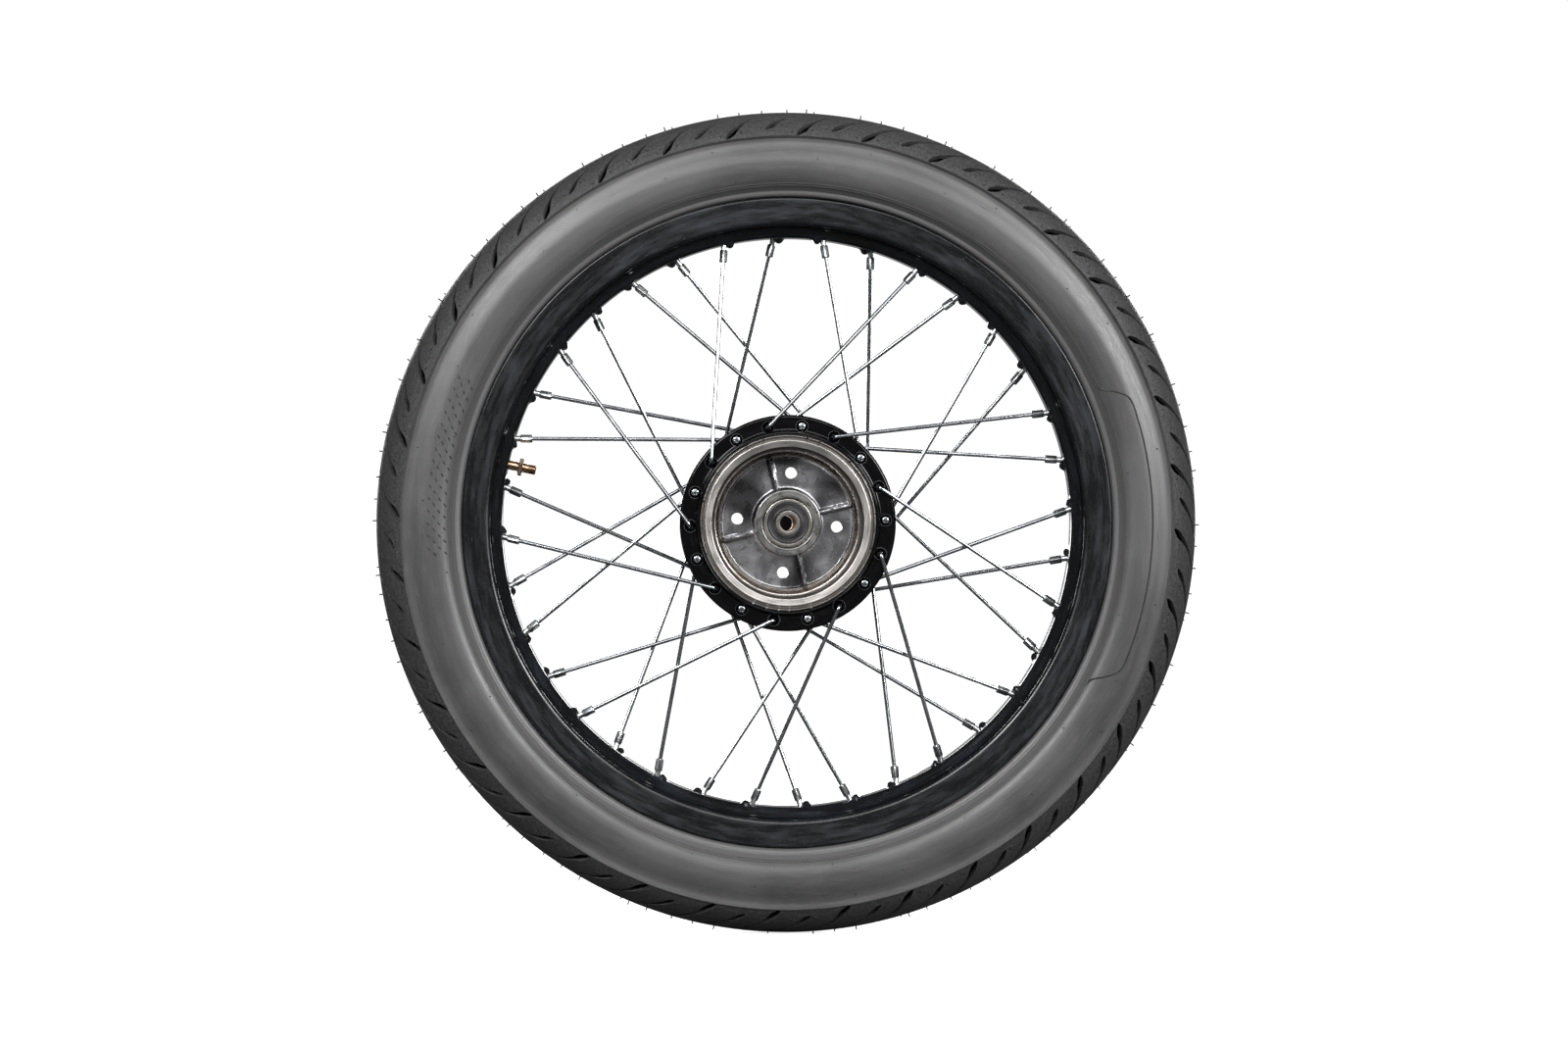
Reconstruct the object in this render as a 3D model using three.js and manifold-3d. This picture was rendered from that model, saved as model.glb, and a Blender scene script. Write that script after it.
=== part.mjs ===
// Spoked motorcycle wheel: a 3.00-18 tyre on a steel well-base rim, laced two-cross with
// 36 spokes to a drum-brake hub that turns on two sealed ball bearings.
// Millimetres. The origin is the wheel's centre, the axle runs along Y, +Z is up, and the
// open brake drum faces -Y. An angle is in degrees, clockwise from the top, seen from -Y.
import * as THREE from "three";
import { mergeVertices } from "three/addons/utils/BufferGeometryUtils.js";
import Module from "manifold-3d";

const wasm = await Module();
wasm.setup();

// Driving dimensions
const GAP = 0.3; // left between pieces that touch
const RIM_SIDES = 36; // facets of the rim, one to each spoke hole
const TYRE_SIDES = 48;
const HIDDEN_SIDES = 36; // facets of the inner tube and the rim tape
const HUB_SIDES = 36; // facets of the hub, one to each spoke hole
const BEARING_SIDES = 20;

const TYRE_RADIUS = 309; // outside radius of a 3.00-18 tyre
const TYRE_HALF_WIDTH = 40;
const BEAD_SEAT_RADIUS = 228.6; // 18 inch bead seat
const RIM_LIP_RADIUS = 242.6;
const RIM_INSIDE = 23.5; // half of 1.85 inches, between the rim's flanges
const RIM_WALL = 2.3;
const WELL_RADIUS = 214.2; // the well's surface on the hub side
const WELL_HALF_WIDTH = 9.3;
const TAPE_THICKNESS = 1.2;

const SPOKE_PAIRS = 9; // spokes in each of the four families
const SPOKE_STEP = 360 / SPOKE_PAIRS;
const SPOKE_RADIUS = 1.5;
const SPOKE_SIDES = 5;
const SPOKE_CIRCLE = 73; // radius of the hole circle in each hub flange
const SPOKE_HOLE = 2.4;
const SPOKE_BEND = 3.2; // where the elbow starts, measured from its corner
const SPOKE_HEAD_RADIUS = 2.6;
const SPOKE_HEAD_HEIGHT = 1.8;
const NIPPLE_ROW = 5.5; // the nipple rows lie this far either side of the centre plane
const NIPPLE_LENGTH = 11; // of the square body below the rim
const NIPPLE_RADIUS = 3.3; // across the corners of the square body
const NIPPLE_STAND_OFF = 2.4; // from the rim to the square body
const NIPPLE_HOLE = 3.3;

const FLANGE_RADIUS = 80.9;
const FLANGE_MIDDLE = 25;
const FLANGE_HALF = 2.5;
const DRUM_FACE = 32; // the open end of the brake drum
const DRUM_SHELL = 68.5;
const DRUM_BORE = 55; // a 110 mm brake
const LINER_OUTSIDE = 60;
const LINER_LIP = 64;
const LINER_LIP_DEPTH = 4.7;
const LEDGE = -4.3; // the shoulder that the iron liner stands on
const WEB_FRONT = 0.5;
const WEB_BACK = 8;
const SEAT = 12; // the ring face that a sprocket carrier sits on
const RECESS_RADIUS = 62;
const BACK_FACE = 30;
const BOSS_RADIUS = 24.8;
const BOSS_END = 30.4;
const WEB_HOLE = 4.35;
const WEB_HOLE_CIRCLE = 37.75;
const WEB_HOLE_ANGLE = 4.7;
const RIB_ANGLE = -13.5;
const RIB_OFFSET = 1.8;
const RIB_WIDTH = 4;
const QUARTER = 90;

const BEARING_BORE = 6; // a 12 x 37 x 12 mm ball bearing
const BEARING_OUTSIDE = 18.5;
const BEARING_WIDTH = 12;
const BEARING_OUTER_FACE = 30;
const INNER_SHOULDER = 9.1;
const OUTER_SHOULDER = 15.7;
const BALL_PITCH = 12.3;
const BALL_RADIUS = 3.7;
const BALLS = 7;
const SPACER_OUTSIDE = 8.5;

const VALVE_ANGLE = 281.8;
const VALVE_RADIUS = 3.85;
const VALVE_TIP = 193.4; // distance of the open end from the axle
const VALVE_HOLE = 4.6;

const RADIANS = Math.PI / 180;
const ALONG_Y = new THREE.Vector3(0, 1, 0);

const FINISH = {
  tyre: { color: 0x35343a, roughness: 0.75, metalness: 0 },
  rubber: { color: 0x1c1c1e, roughness: 0.85, metalness: 0 },
  gloss_black: { color: 0x0b0b0d, roughness: 0.25, metalness: 0 },
  bare_aluminium: { color: 0x9c9a96, roughness: 0.45, metalness: 1 },
  machined_iron: { color: 0xb7aea4, roughness: 0.4, metalness: 1 },
  bright_zinc: { color: 0xc9ccd0, roughness: 0.3, metalness: 1 },
  bearing_steel: { color: 0xc4bbae, roughness: 0.3, metalness: 1 },
  plated_tube: { color: 0x9a6b45, roughness: 0.5, metalness: 1 },
  brass: { color: 0xb08d4a, roughness: 0.35, metalness: 1 },
};

const group = new THREE.Group();

// A point at a distance from the axle, at an angle, and at a place along the axle.
function at(radius, angle, y) {
  const turn = angle * RADIANS;
  return new THREE.Vector3(radius * Math.sin(turn), y, radius * Math.cos(turn));
}

// The closed solid of a geometry whose faces meet edge to edge.
function solid(geometry) {
  const bare = geometry.index ? geometry.toNonIndexed() : geometry.clone();
  bare.deleteAttribute("normal");
  bare.deleteAttribute("uv");
  const merged = mergeVertices(bare, 1e-4);
  return new wasm.Manifold(
    new wasm.Mesh({
      numProp: 3,
      vertProperties: new Float32Array(merged.attributes.position.array),
      triVerts: new Uint32Array(merged.index.array),
    }),
  );
}

// The area inside an outline of [radius, y] pairs, positive when it runs from +radius to +y.
function signedArea(outline) {
  return outline.reduce((sum, [r, y], i) => {
    const [nextR, nextY] = outline[(i + 1) % outline.length];
    return sum + (r * nextY - nextR * y) / 2;
  }, 0);
}

// A ring or a turned piece: an outline of [radius, y] pairs swept round the axle.
function turned(outline, sides, firstAngle = 0) {
  const ordered = signedArea(outline) > 0 ? outline : [...outline].reverse();
  const points = [...ordered, ordered[0]].map(([r, y]) => new THREE.Vector2(r, y));
  return solid(new THREE.LatheGeometry(points, sides, firstAngle * RADIANS));
}

// An outline that is the same on both sides of the centre plane, from its +Y half.
function mirrored(half) {
  const other = half.map(([r, y]) => [r, -y]).reverse();
  return [...half, ...other];
}

// A round or flat-sided bar, or a cone, from one point to another.
function bar(from, to, radius, sides, endRadius = radius, turn = 0) {
  const along = new THREE.Vector3().subVectors(to, from);
  const geometry = new THREE.CylinderGeometry(endRadius, radius, along.length(), sides);
  geometry.rotateY(turn * RADIANS);
  geometry.applyQuaternion(
    new THREE.Quaternion().setFromUnitVectors(ALONG_Y, along.clone().normalize()),
  );
  const middle = new THREE.Vector3().addVectors(from, to).multiplyScalar(0.5);
  return solid(geometry.translate(middle.x, middle.y, middle.z));
}

function add(name, made, finish) {
  const mesh = made.getMesh();
  const geometry = new THREE.BufferGeometry();
  geometry.setAttribute("position", new THREE.BufferAttribute(mesh.vertProperties, 3));
  geometry.setIndex(new THREE.BufferAttribute(mesh.triVerts, 1));
  geometry.computeVertexNormals();
  const piece = new THREE.Mesh(geometry, new THREE.MeshStandardMaterial(FINISH[finish]));
  piece.name = name;
  group.add(piece);
}

// Spokes. Each family has nine. "outside" means that the wire runs along the outer face of
// its flange and the head lies inside; lead is the angle from the hub hole to the rim hole.
const FAMILIES = [
  { name: "front_outer", side: -1, firstHole: -11.7, lead: 38.9, outside: true },
  { name: "front_inner", side: -1, firstHole: 8.3, lead: -41.1, outside: false },
  { name: "back_inner", side: 1, firstHole: -1.7, lead: 38.9, outside: false },
  { name: "back_outer", side: 1, firstHole: 18.3, lead: -41.1, outside: true },
];
const WIRE_CLEARANCE = { outside: 1.9, inside: 0.9 }; // from the flange face, at the elbow

// Where one spoke turns its corner, passes through the rim, and which way it points.
function spokeLine(family, number) {
  const hubAngle = family.firstHole + number * SPOKE_STEP;
  const rimAngle = hubAngle + family.lead;
  const offFace = family.outside
    ? FLANGE_HALF + SPOKE_RADIUS + WIRE_CLEARANCE.outside
    : -(FLANGE_HALF + SPOKE_RADIUS + WIRE_CLEARANCE.inside);
  const corner = at(SPOKE_CIRCLE, hubAngle, family.side * (FLANGE_MIDDLE + offFace));
  const seat = at(WELL_RADIUS, rimAngle, family.side * NIPPLE_ROW);
  const direction = new THREE.Vector3().subVectors(seat, corner).normalize();
  return { hubAngle, corner, seat, direction };
}

// A polyline whose stations are used as they are, with mitred corners.
class Stations extends THREE.Curve {
  constructor(points) {
    super();
    this.points = points;
  }
  getPoint(t) {
    const place = t * (this.points.length - 1);
    const from = Math.min(Math.floor(place), this.points.length - 2);
    return this.points[from].clone().lerp(this.points[from + 1], place - from);
  }
  getPointAt(u) {
    return this.getPoint(u);
  }
  getTangentAt(u) {
    const last = this.points.length - 1;
    const here = Math.round(u * last);
    const step = (i) => new THREE.Vector3().subVectors(this.points[i + 1], this.points[i]).normalize();
    const before = step(Math.max(here - 1, 0));
    return before.add(step(Math.min(here, last - 1))).normalize();
  }
}

function spoke(family, number) {
  const { corner, seat, direction } = spokeLine(family, number);
  const towardsHead = new THREE.Vector3(0, family.outside ? -family.side : family.side, 0);
  const headFace = family.side * (FLANGE_MIDDLE + (family.outside ? -1 : 1) * (FLANGE_HALF + GAP));
  const head = new THREE.Vector3(corner.x, headFace, corner.z);
  const along = (start, way, distance) => start.clone().addScaledVector(way, distance);
  const bend = new THREE.QuadraticBezierCurve3(
    along(corner, towardsHead, SPOKE_BEND),
    corner,
    along(corner, direction, SPOKE_BEND),
  );
  const insideNipple = along(seat, direction, -NIPPLE_STAND_OFF - 1);
  const path = new Stations([along(head, towardsHead, 0.5), ...bend.getPoints(2), insideNipple]);
  const section = new THREE.Shape(
    new THREE.Path().absarc(0, 0, SPOKE_RADIUS, 0, 2 * Math.PI).getSpacedPoints(SPOKE_SIDES),
  );
  const wire = solid(
    new THREE.ExtrudeGeometry(section, { steps: path.points.length - 1, extrudePath: path }),
  );
  const headEnd = along(head, towardsHead, SPOKE_HEAD_HEIGHT);
  const button = bar(head, headEnd, SPOKE_HEAD_RADIUS, SPOKE_SIDES);
  const bodyTop = along(seat, direction, -NIPPLE_STAND_OFF);
  const body = bar(along(bodyTop, direction, -NIPPLE_LENGTH), bodyTop, NIPPLE_RADIUS, 4);
  const neckTop = along(seat, direction, RIM_WALL + 4);
  const neck = bar(along(bodyTop, direction, -0.5), neckTop, 2, SPOKE_SIDES, NIPPLE_RADIUS);
  return wire.add(button).add(body).add(neck);
}

// The hole in the rim for one spoke's nipple, along the spoke's own line.
function nippleHole(family, number) {
  const { seat, direction } = spokeLine(family, number);
  const from = seat.clone().addScaledVector(direction, -4);
  const to = seat.clone().addScaledVector(direction, 6);
  return bar(from, to, NIPPLE_HOLE, 6, NIPPLE_HOLE, 30);
}

function everySpoke(action) {
  for (const family of FAMILIES)
    for (let number = 0; number < SPOKE_PAIRS; number++) action(family, number);
}

// Rim: a rolled steel channel with a deep well, holed for 36 nipples and the valve.
function rim() {
  const outside = RIM_INSIDE + RIM_WALL;
  const half = [
    [WELL_RADIUS, WELL_HALF_WIDTH],
    [221.2, 14.5],
    [222.4, outside - 1.8],
    [224.4, outside],
    [RIM_LIP_RADIUS, outside + 1.4],
    [RIM_LIP_RADIUS, outside - 1.6],
    [BEAD_SEAT_RADIUS, RIM_INSIDE],
    [BEAD_SEAT_RADIUS - 1, 12.6],
    [WELL_RADIUS + RIM_WALL, WELL_HALF_WIDTH - 0.5],
  ];
  const firstFacet = FAMILIES[0].firstHole + FAMILIES[0].lead - 180 / RIM_SIDES;
  let made = turned(mirrored(half), RIM_SIDES, firstFacet);
  everySpoke((family, number) => {
    made = made.subtract(nippleHole(family, number));
  });
  const valveHole = bar(at(WELL_RADIUS - 6, VALVE_ANGLE, 0), at(224, VALVE_ANGLE, 0), VALVE_HOLE, 8);
  return made.subtract(valveHole);
}

const TAPE_INSIDE = WELL_RADIUS + RIM_WALL + 5.6; // clear of the nipple heads
const TUBE_INSIDE = TAPE_INSIDE + TAPE_THICKNESS + 1.4;

// Rim tape: a rubber band over the nipple heads, with a hole for the valve.
function rimTape() {
  const outline = mirrored([
    [TAPE_INSIDE, 9.5],
    [TAPE_INSIDE + TAPE_THICKNESS, 9.5],
  ]);
  const hole = bar(at(TAPE_INSIDE - 4, VALVE_ANGLE, 0), at(TUBE_INSIDE, VALVE_ANGLE, 0), VALVE_HOLE, 8);
  return turned(outline, HIDDEN_SIDES).subtract(hole);
}

// Inner tube, blown up: a ring of round section with its wall pierced by the valve's bore.
function innerTube() {
  const outer = mirrored([
    [299.5, 16],
    [284, 31],
    [262, 30],
    [TUBE_INSIDE, 7],
  ]);
  const inner = mirrored([
    [297, 14.5],
    [283, 28],
    [263.5, 27],
    [TUBE_INSIDE + 3.5, 5],
  ]);
  const air = turned(inner, HIDDEN_SIDES);
  const pierced = bar(at(TUBE_INSIDE - 4, VALVE_ANGLE, 0), at(240, VALVE_ANGLE, 0), 1.2, 6);
  return turned(outer, HIDDEN_SIDES).subtract(air).subtract(pierced);
}

// Tyre: two beads inside the rim's flanges, sidewalls, and a round tread.
function tyre() {
  const half = [
    [BEAD_SEAT_RADIUS + 0.8, 13.4],
    [BEAD_SEAT_RADIUS + 1, RIM_INSIDE - 0.5],
    [RIM_LIP_RADIUS - 1, RIM_INSIDE - 1],
    [254.5, 33.5],
    [272, TYRE_HALF_WIDTH],
    [287, 38.8],
    [301.4, 24.5],
    [TYRE_RADIUS, 6.5],
  ];
  const inside = [
    [302, 17],
    [290, 32.5],
    [266, 34.5],
    [240, 17.5],
  ];
  // Down the outside on one side, across the tread, and back along the inside.
  const outline = [
    ...half,
    ...half.map(([r, y]) => [r, -y]).reverse(),
    ...inside.map(([r, y]) => [r, -y]).reverse(),
    ...inside,
  ];
  return turned(outline, TYRE_SIDES);
}

// Valve: a threaded brass stem that passes through the rim, its core, and the rim nut.
function valveStem() {
  const foot = TUBE_INSIDE * Math.cos(Math.PI / HIDDEN_SIDES) - GAP; // under the tube's flats
  const stem = bar(at(VALVE_TIP, VALVE_ANGLE, 0), at(foot, VALVE_ANGLE, 0), VALVE_RADIUS, 10);
  const bore = bar(at(VALVE_TIP - 1, VALVE_ANGLE, 0), at(foot + 1, VALVE_ANGLE, 0), 2.6, 8);
  return stem.subtract(bore);
}

function valveCore() {
  return bar(at(VALVE_TIP + 1, VALVE_ANGLE, 0), at(VALVE_TIP + 20, VALVE_ANGLE, 0), 2, 6);
}

function valveNut() {
  const [from, to] = [203.5, 206.5].map((r) => at(r, VALVE_ANGLE, 0));
  const hole = bar(at(203, VALVE_ANGLE, 0), at(207, VALVE_ANGLE, 0), VALVE_RADIUS + 0.6, 10);
  return bar(from, to, 6.9, 6).subtract(hole);
}

// Hub shell: an aluminium casting with two flanges, the drum, the web and the bearing boss.
function hubShell() {
  const inner = FLANGE_MIDDLE - FLANGE_HALF;
  const outer = FLANGE_MIDDLE + FLANGE_HALF;
  const pocket = BEARING_OUTSIDE + GAP;
  const pocketFloor = BEARING_OUTER_FACE - BEARING_WIDTH - GAP;
  const outline = [
    [LINER_LIP + GAP, -DRUM_FACE],
    [DRUM_SHELL, -DRUM_FACE],
    [DRUM_SHELL, -outer],
    [FLANGE_RADIUS - 1.5, -outer],
    [FLANGE_RADIUS, -inner],
    [DRUM_SHELL, -inner],
    [DRUM_SHELL, inner],
    [FLANGE_RADIUS, inner],
    [FLANGE_RADIUS - 1.5, outer],
    [DRUM_SHELL, outer],
    [DRUM_SHELL, BACK_FACE],
    [RECESS_RADIUS, BACK_FACE],
    [RECESS_RADIUS, WEB_BACK],
    [47, WEB_BACK],
    [47, SEAT],
    [29.5, SEAT],
    [29.5, WEB_BACK],
    [BOSS_RADIUS, WEB_BACK],
    [BOSS_RADIUS, BOSS_END],
    [pocket, BOSS_END],
    [pocket, pocketFloor],
    [OUTER_SHOULDER - 0.5, pocketFloor],
    [OUTER_SHOULDER - 0.5, -pocketFloor],
    [pocket, -pocketFloor],
    [pocket, -BOSS_END],
    [BOSS_RADIUS, -BOSS_END],
    [BOSS_RADIUS, WEB_FRONT],
    [50.3, WEB_FRONT],
    [50.3, LEDGE],
    [LINER_OUTSIDE + GAP, LEDGE],
    [LINER_OUTSIDE + GAP, -DRUM_FACE + LINER_LIP_DEPTH],
    [LINER_LIP + GAP, -DRUM_FACE + LINER_LIP_DEPTH],
  ];
  const facet = 360 / HUB_SIDES;
  let made = turned(outline, HUB_SIDES, FAMILIES[0].firstHole - facet / 2);
  for (let quarter = 0; quarter < 4; quarter++) {
    const rib = new THREE.BoxGeometry(RIB_WIDTH, 7, 28.5);
    rib.translate(-RIB_OFFSET, WEB_FRONT - 2.5, BOSS_RADIUS + 12.6);
    rib.rotateY((RIB_ANGLE + quarter * QUARTER) * RADIANS);
    made = made.add(solid(rib));
  }
  everySpoke((family, number) => {
    const { hubAngle } = spokeLine(family, number);
    const from = at(SPOKE_CIRCLE, hubAngle, family.side * (inner - 1));
    const to = at(SPOKE_CIRCLE, hubAngle, family.side * (outer + 1));
    made = made.subtract(bar(from, to, SPOKE_HOLE, 6));
  });
  for (let quarter = 0; quarter < 4; quarter++) {
    const angle = WEB_HOLE_ANGLE + quarter * QUARTER;
    const [from, to] = [WEB_FRONT - 2, SEAT + 2].map((y) => at(WEB_HOLE_CIRCLE, angle, y));
    made = made.subtract(bar(from, to, WEB_HOLE, 10));
  }
  return made;
}

// Brake drum liner: the iron ring cast into the hub, turned to the brake's bore.
function drumLiner() {
  const face = -DRUM_FACE + GAP;
  const lipBack = -DRUM_FACE + LINER_LIP_DEPTH - GAP;
  const outline = [
    [DRUM_BORE + 1.2, face],
    [LINER_LIP, face],
    [LINER_LIP, lipBack],
    [LINER_OUTSIDE, lipBack],
    [LINER_OUTSIDE, LEDGE - GAP],
    [DRUM_BORE, LEDGE - GAP],
    [DRUM_BORE, face + 1.2],
  ];
  return turned(outline, HUB_SIDES, FAMILIES[0].firstHole - 180 / HUB_SIDES);
}

// The outline of a bearing ring, grooved for the balls on the side that faces them.
function ringOutline(middle, plain, shoulder, groove) {
  const half = BEARING_WIDTH / 2;
  const grooveHalf = 3;
  return [
    [plain, middle - half],
    [shoulder, middle - half],
    [shoulder, middle - grooveHalf],
    [groove, middle],
    [shoulder, middle + grooveHalf],
    [shoulder, middle + half],
    [plain, middle + half],
  ];
}

function bearingOuterRing(middle) {
  const groove = BALL_PITCH + BALL_RADIUS + 0.6;
  return turned(ringOutline(middle, BEARING_OUTSIDE, OUTER_SHOULDER, groove), BEARING_SIDES);
}

function bearingInnerRing(middle) {
  const groove = BALL_PITCH - BALL_RADIUS - 0.6;
  return turned(ringOutline(middle, BEARING_BORE, INNER_SHOULDER, groove), BEARING_SIDES);
}

// Ball cage with its seven balls, held together as they run.
function bearingCage(middle) {
  const ring = mirrored([
    [BALL_PITCH - 1.3, 1.6],
    [BALL_PITCH + 1.3, 1.6],
  ]).map(([r, y]) => [r, y + middle]);
  let made = turned(ring, BEARING_SIDES + 1);
  for (let ball = 0; ball < BALLS; ball++) {
    const centre = at(BALL_PITCH, (ball * 360) / BALLS, middle);
    const sphere = new THREE.SphereGeometry(BALL_RADIUS, 6, 4);
    made = made.add(solid(sphere.translate(centre.x, centre.y, centre.z)));
  }
  return made;
}

// Bearing seal: a thin rubber ring between the two rings, just inside the bearing's face.
function bearingSeal(middle, side) {
  const face = middle + side * (BEARING_WIDTH / 2 - 0.5);
  const outline = [
    [INNER_SHOULDER + 0.5, face],
    [OUTER_SHOULDER - 0.6, face],
    [OUTER_SHOULDER - 0.6, face - side * 0.9],
    [INNER_SHOULDER + 0.5, face - side * 0.9],
  ];
  return turned(outline, BEARING_SIDES);
}

// Spacer tube: keeps the two inner rings apart when the axle is done up.
function spacerTube() {
  const end = BEARING_OUTER_FACE - BEARING_WIDTH - GAP;
  const outline = [
    [BEARING_BORE + 0.2, -end],
    [SPACER_OUTSIDE, -end],
    [SPACER_OUTSIDE, end],
    [BEARING_BORE + 0.2, end],
  ];
  return turned(outline, BEARING_SIDES);
}

add("tyre", tyre(), "tyre");
add("inner_tube", innerTube(), "rubber");
add("rim_tape", rimTape(), "rubber");
add("rim", rim(), "gloss_black");
add("valve_stem", valveStem(), "brass");
add("valve_core", valveCore(), "brass");
add("valve_nut", valveNut(), "brass");
add("hub_shell", hubShell(), "bare_aluminium");
add("brake_drum_liner", drumLiner(), "machined_iron");
everySpoke((family, number) => {
  add(`spoke_${family.name}_${number + 1}`, spoke(family, number), "bright_zinc");
});
for (const [end, side] of [
  ["front", -1],
  ["back", 1],
]) {
  const middle = side * (BEARING_OUTER_FACE - BEARING_WIDTH / 2);
  add(`bearing_outer_ring_${end}`, bearingOuterRing(middle), "bearing_steel");
  add(`bearing_inner_ring_${end}`, bearingInnerRing(middle), "bearing_steel");
  add(`bearing_cage_${end}`, bearingCage(middle), "bearing_steel");
  add(`bearing_seal_outer_${end}`, bearingSeal(middle, side), "rubber");
  add(`bearing_seal_inner_${end}`, bearingSeal(middle, -side), "rubber");
}
add("spacer_tube", spacerTube(), "plated_tube");

export default group;
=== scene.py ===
# %% [markdown]
# # A spoked motorcycle wheel
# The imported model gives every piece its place. This script keeps those places and gives the
# wheel its looks: rubber with a cut tread, a black enamelled rim, zinc-plated spokes, and a
# cast hub with a turned iron brake drum and two ball bearings.
# The axle runs along Y, the open drum faces -Y, and +Z is up. Sizes are in millimetres here
# and become metres when a mesh is made.

# %% Load the frame
import math

import bmesh
import bpy
import numpy as np
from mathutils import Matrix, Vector


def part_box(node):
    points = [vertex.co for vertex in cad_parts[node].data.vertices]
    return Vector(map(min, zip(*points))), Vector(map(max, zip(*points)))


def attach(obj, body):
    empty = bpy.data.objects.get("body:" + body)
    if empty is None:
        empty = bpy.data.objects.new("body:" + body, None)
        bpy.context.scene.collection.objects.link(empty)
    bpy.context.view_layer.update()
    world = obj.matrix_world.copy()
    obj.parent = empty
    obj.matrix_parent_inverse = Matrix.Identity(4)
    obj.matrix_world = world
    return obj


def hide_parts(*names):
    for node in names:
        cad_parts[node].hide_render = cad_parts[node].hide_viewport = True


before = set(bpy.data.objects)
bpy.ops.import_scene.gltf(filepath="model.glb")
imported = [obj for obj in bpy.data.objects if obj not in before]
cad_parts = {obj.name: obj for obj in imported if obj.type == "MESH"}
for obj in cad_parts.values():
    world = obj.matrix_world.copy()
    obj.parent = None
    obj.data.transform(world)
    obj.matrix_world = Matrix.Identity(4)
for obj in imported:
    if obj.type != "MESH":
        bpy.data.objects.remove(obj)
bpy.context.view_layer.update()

MM = 0.001

# %% [markdown]
# ## Driving sizes
# The outside of the tyre is read from the frame. The rest repeats the design's own numbers,
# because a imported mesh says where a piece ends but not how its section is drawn.

# %% Sizes in millimetres
_, tyre_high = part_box("tyre")
TYRE_R = tyre_high.z / MM
TYRE_HALF = tyre_high.y / MM
CROWN = 44.3            # radius of the tread's arc, seen in section
SHOULDER_Y = 37.6       # where the tread ends
WELL_R = 214.2          # the rim's well, on the hub side
SPOKE_CIRCLE = 73.0     # the spoke holes' distance from the axle
SPOKE_R = 1.5
NIPPLE_ROW = 5.5        # each nipple row's distance from the middle plane
FLANGE_MID = 25.0       # each spoke flange's distance from the middle plane
FLANGE_HALF = 2.5
WEB_FRONT = 0.5         # the web's face inside the drum
BEARING_FACE = 30.0
VALVE_ANGLE = 281.8
VALVE_TIP = 193.4       # the stem's open end, from the axle
FAMILIES = {            # name: (flange side, first hub hole, lead to the rim hole, elbow outside)
    "front_outer": (-1, -11.7, 38.9, True),
    "front_inner": (-1, 8.3, -41.1, False),
    "back_inner": (1, -1.7, 38.9, False),
    "back_outer": (1, 18.3, -41.1, True),
}
COPIES = 9              # spokes in each family
print("tyre radius", round(TYRE_R, 1), "mm, half width", round(TYRE_HALF, 1), "mm")

# %% [markdown]
# ## The camera
# The wheel is seen almost square on, from a couple of metres away, so that the drum and the
# lacing stay round. The camera stands a little to the left of the axle and a little above it.

# %% Camera
CAMERA_AWAY = 2.6
CAMERA_LEFT = math.radians(1.5)
CAMERA_UP = math.radians(0.5)
FRAME_MM = 1183.9        # what the frame's width spans at the wheel's centre plane
SENSOR = 36.0

aim = Vector((-2.2, 0.0, 0.2)) * MM
back = Vector((
    -math.sin(CAMERA_LEFT) * math.cos(CAMERA_UP),
    -math.cos(CAMERA_LEFT) * math.cos(CAMERA_UP),
    math.sin(CAMERA_UP),
))
camera_data = bpy.data.cameras.new("camera")
camera_data.sensor_width = SENSOR
camera_data.lens = SENSOR * CAMERA_AWAY / MM / FRAME_MM
camera = bpy.data.objects.new("camera", camera_data)
camera.location = aim + back * CAMERA_AWAY
camera.rotation_mode = "QUATERNION"
camera.rotation_quaternion = (-back).to_track_quat("-Z", "Y")
bpy.context.scene.collection.objects.link(camera)
bpy.context.scene.camera = camera
print("lens", round(camera_data.lens, 1), "mm")

# %% [markdown]
# ## Small helpers
# Most of a wheel is turned, so its pieces start as an outline of (radius, along the axle)
# swept round the axle. A corner of an outline may carry a fillet, as every cast or rolled
# corner does: light catches it, and a perfectly sharp corner looks like a drawing.


# %% Points, outlines and fillets
def at(radius, angle, y):
    """A point by its distance from the axle and its angle, clockwise from the top."""
    turn = math.radians(angle)
    return Vector((radius * math.sin(turn), y, radius * math.cos(turn)))


def filleted(corners, steps=5):
    """An outline with each (radius, y, fillet) corner rounded."""
    outline = []
    count = len(corners)
    for index, (*corner, fillet) in enumerate(corners):
        here = np.array(corner)
        before = np.array(corners[index - 1][:2]) - here
        after = np.array(corners[(index + 1) % count][:2]) - here
        reach = min(fillet, 0.49 * np.linalg.norm(before), 0.49 * np.linalg.norm(after))
        if reach < 0.02:
            outline.append(here)
            continue
        start = here + before / np.linalg.norm(before) * reach
        end = here + after / np.linalg.norm(after) * reach
        for t in np.linspace(0, 1, steps + 1):
            outline.append(start * (1 - t) ** 2 + 2 * here * t * (1 - t) + end * t * t)
    return np.array(outline)


def divided(outline, longest):
    """The same closed outline with no side longer than a length."""
    made = []
    for index, point in enumerate(outline):
        following = outline[(index + 1) % len(outline)]
        pieces = max(1, math.ceil(np.linalg.norm(following - point) / longest))
        made.extend(point + (following - point) * k / pieces for k in range(pieces))
    return np.array(made)


def smooth_line(points, per_side):
    """A curve through a few points, bending evenly between them."""
    p = np.array(points, float)
    p = np.vstack([2 * p[0] - p[1], p, 2 * p[-1] - p[-2]])
    made = []
    for i in range(1, len(p) - 2):
        for t in np.linspace(0, 1, per_side, endpoint=False):
            made.append(0.5 * (
                2 * p[i] + (p[i + 1] - p[i - 1]) * t
                + (2 * p[i - 1] - 5 * p[i] + 4 * p[i + 1] - p[i + 2]) * t ** 2
                + (3 * p[i] - p[i - 1] - 3 * p[i + 1] + p[i + 2]) * t ** 3
            ))
    made.append(p[-2])
    return np.array(made)


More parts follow.
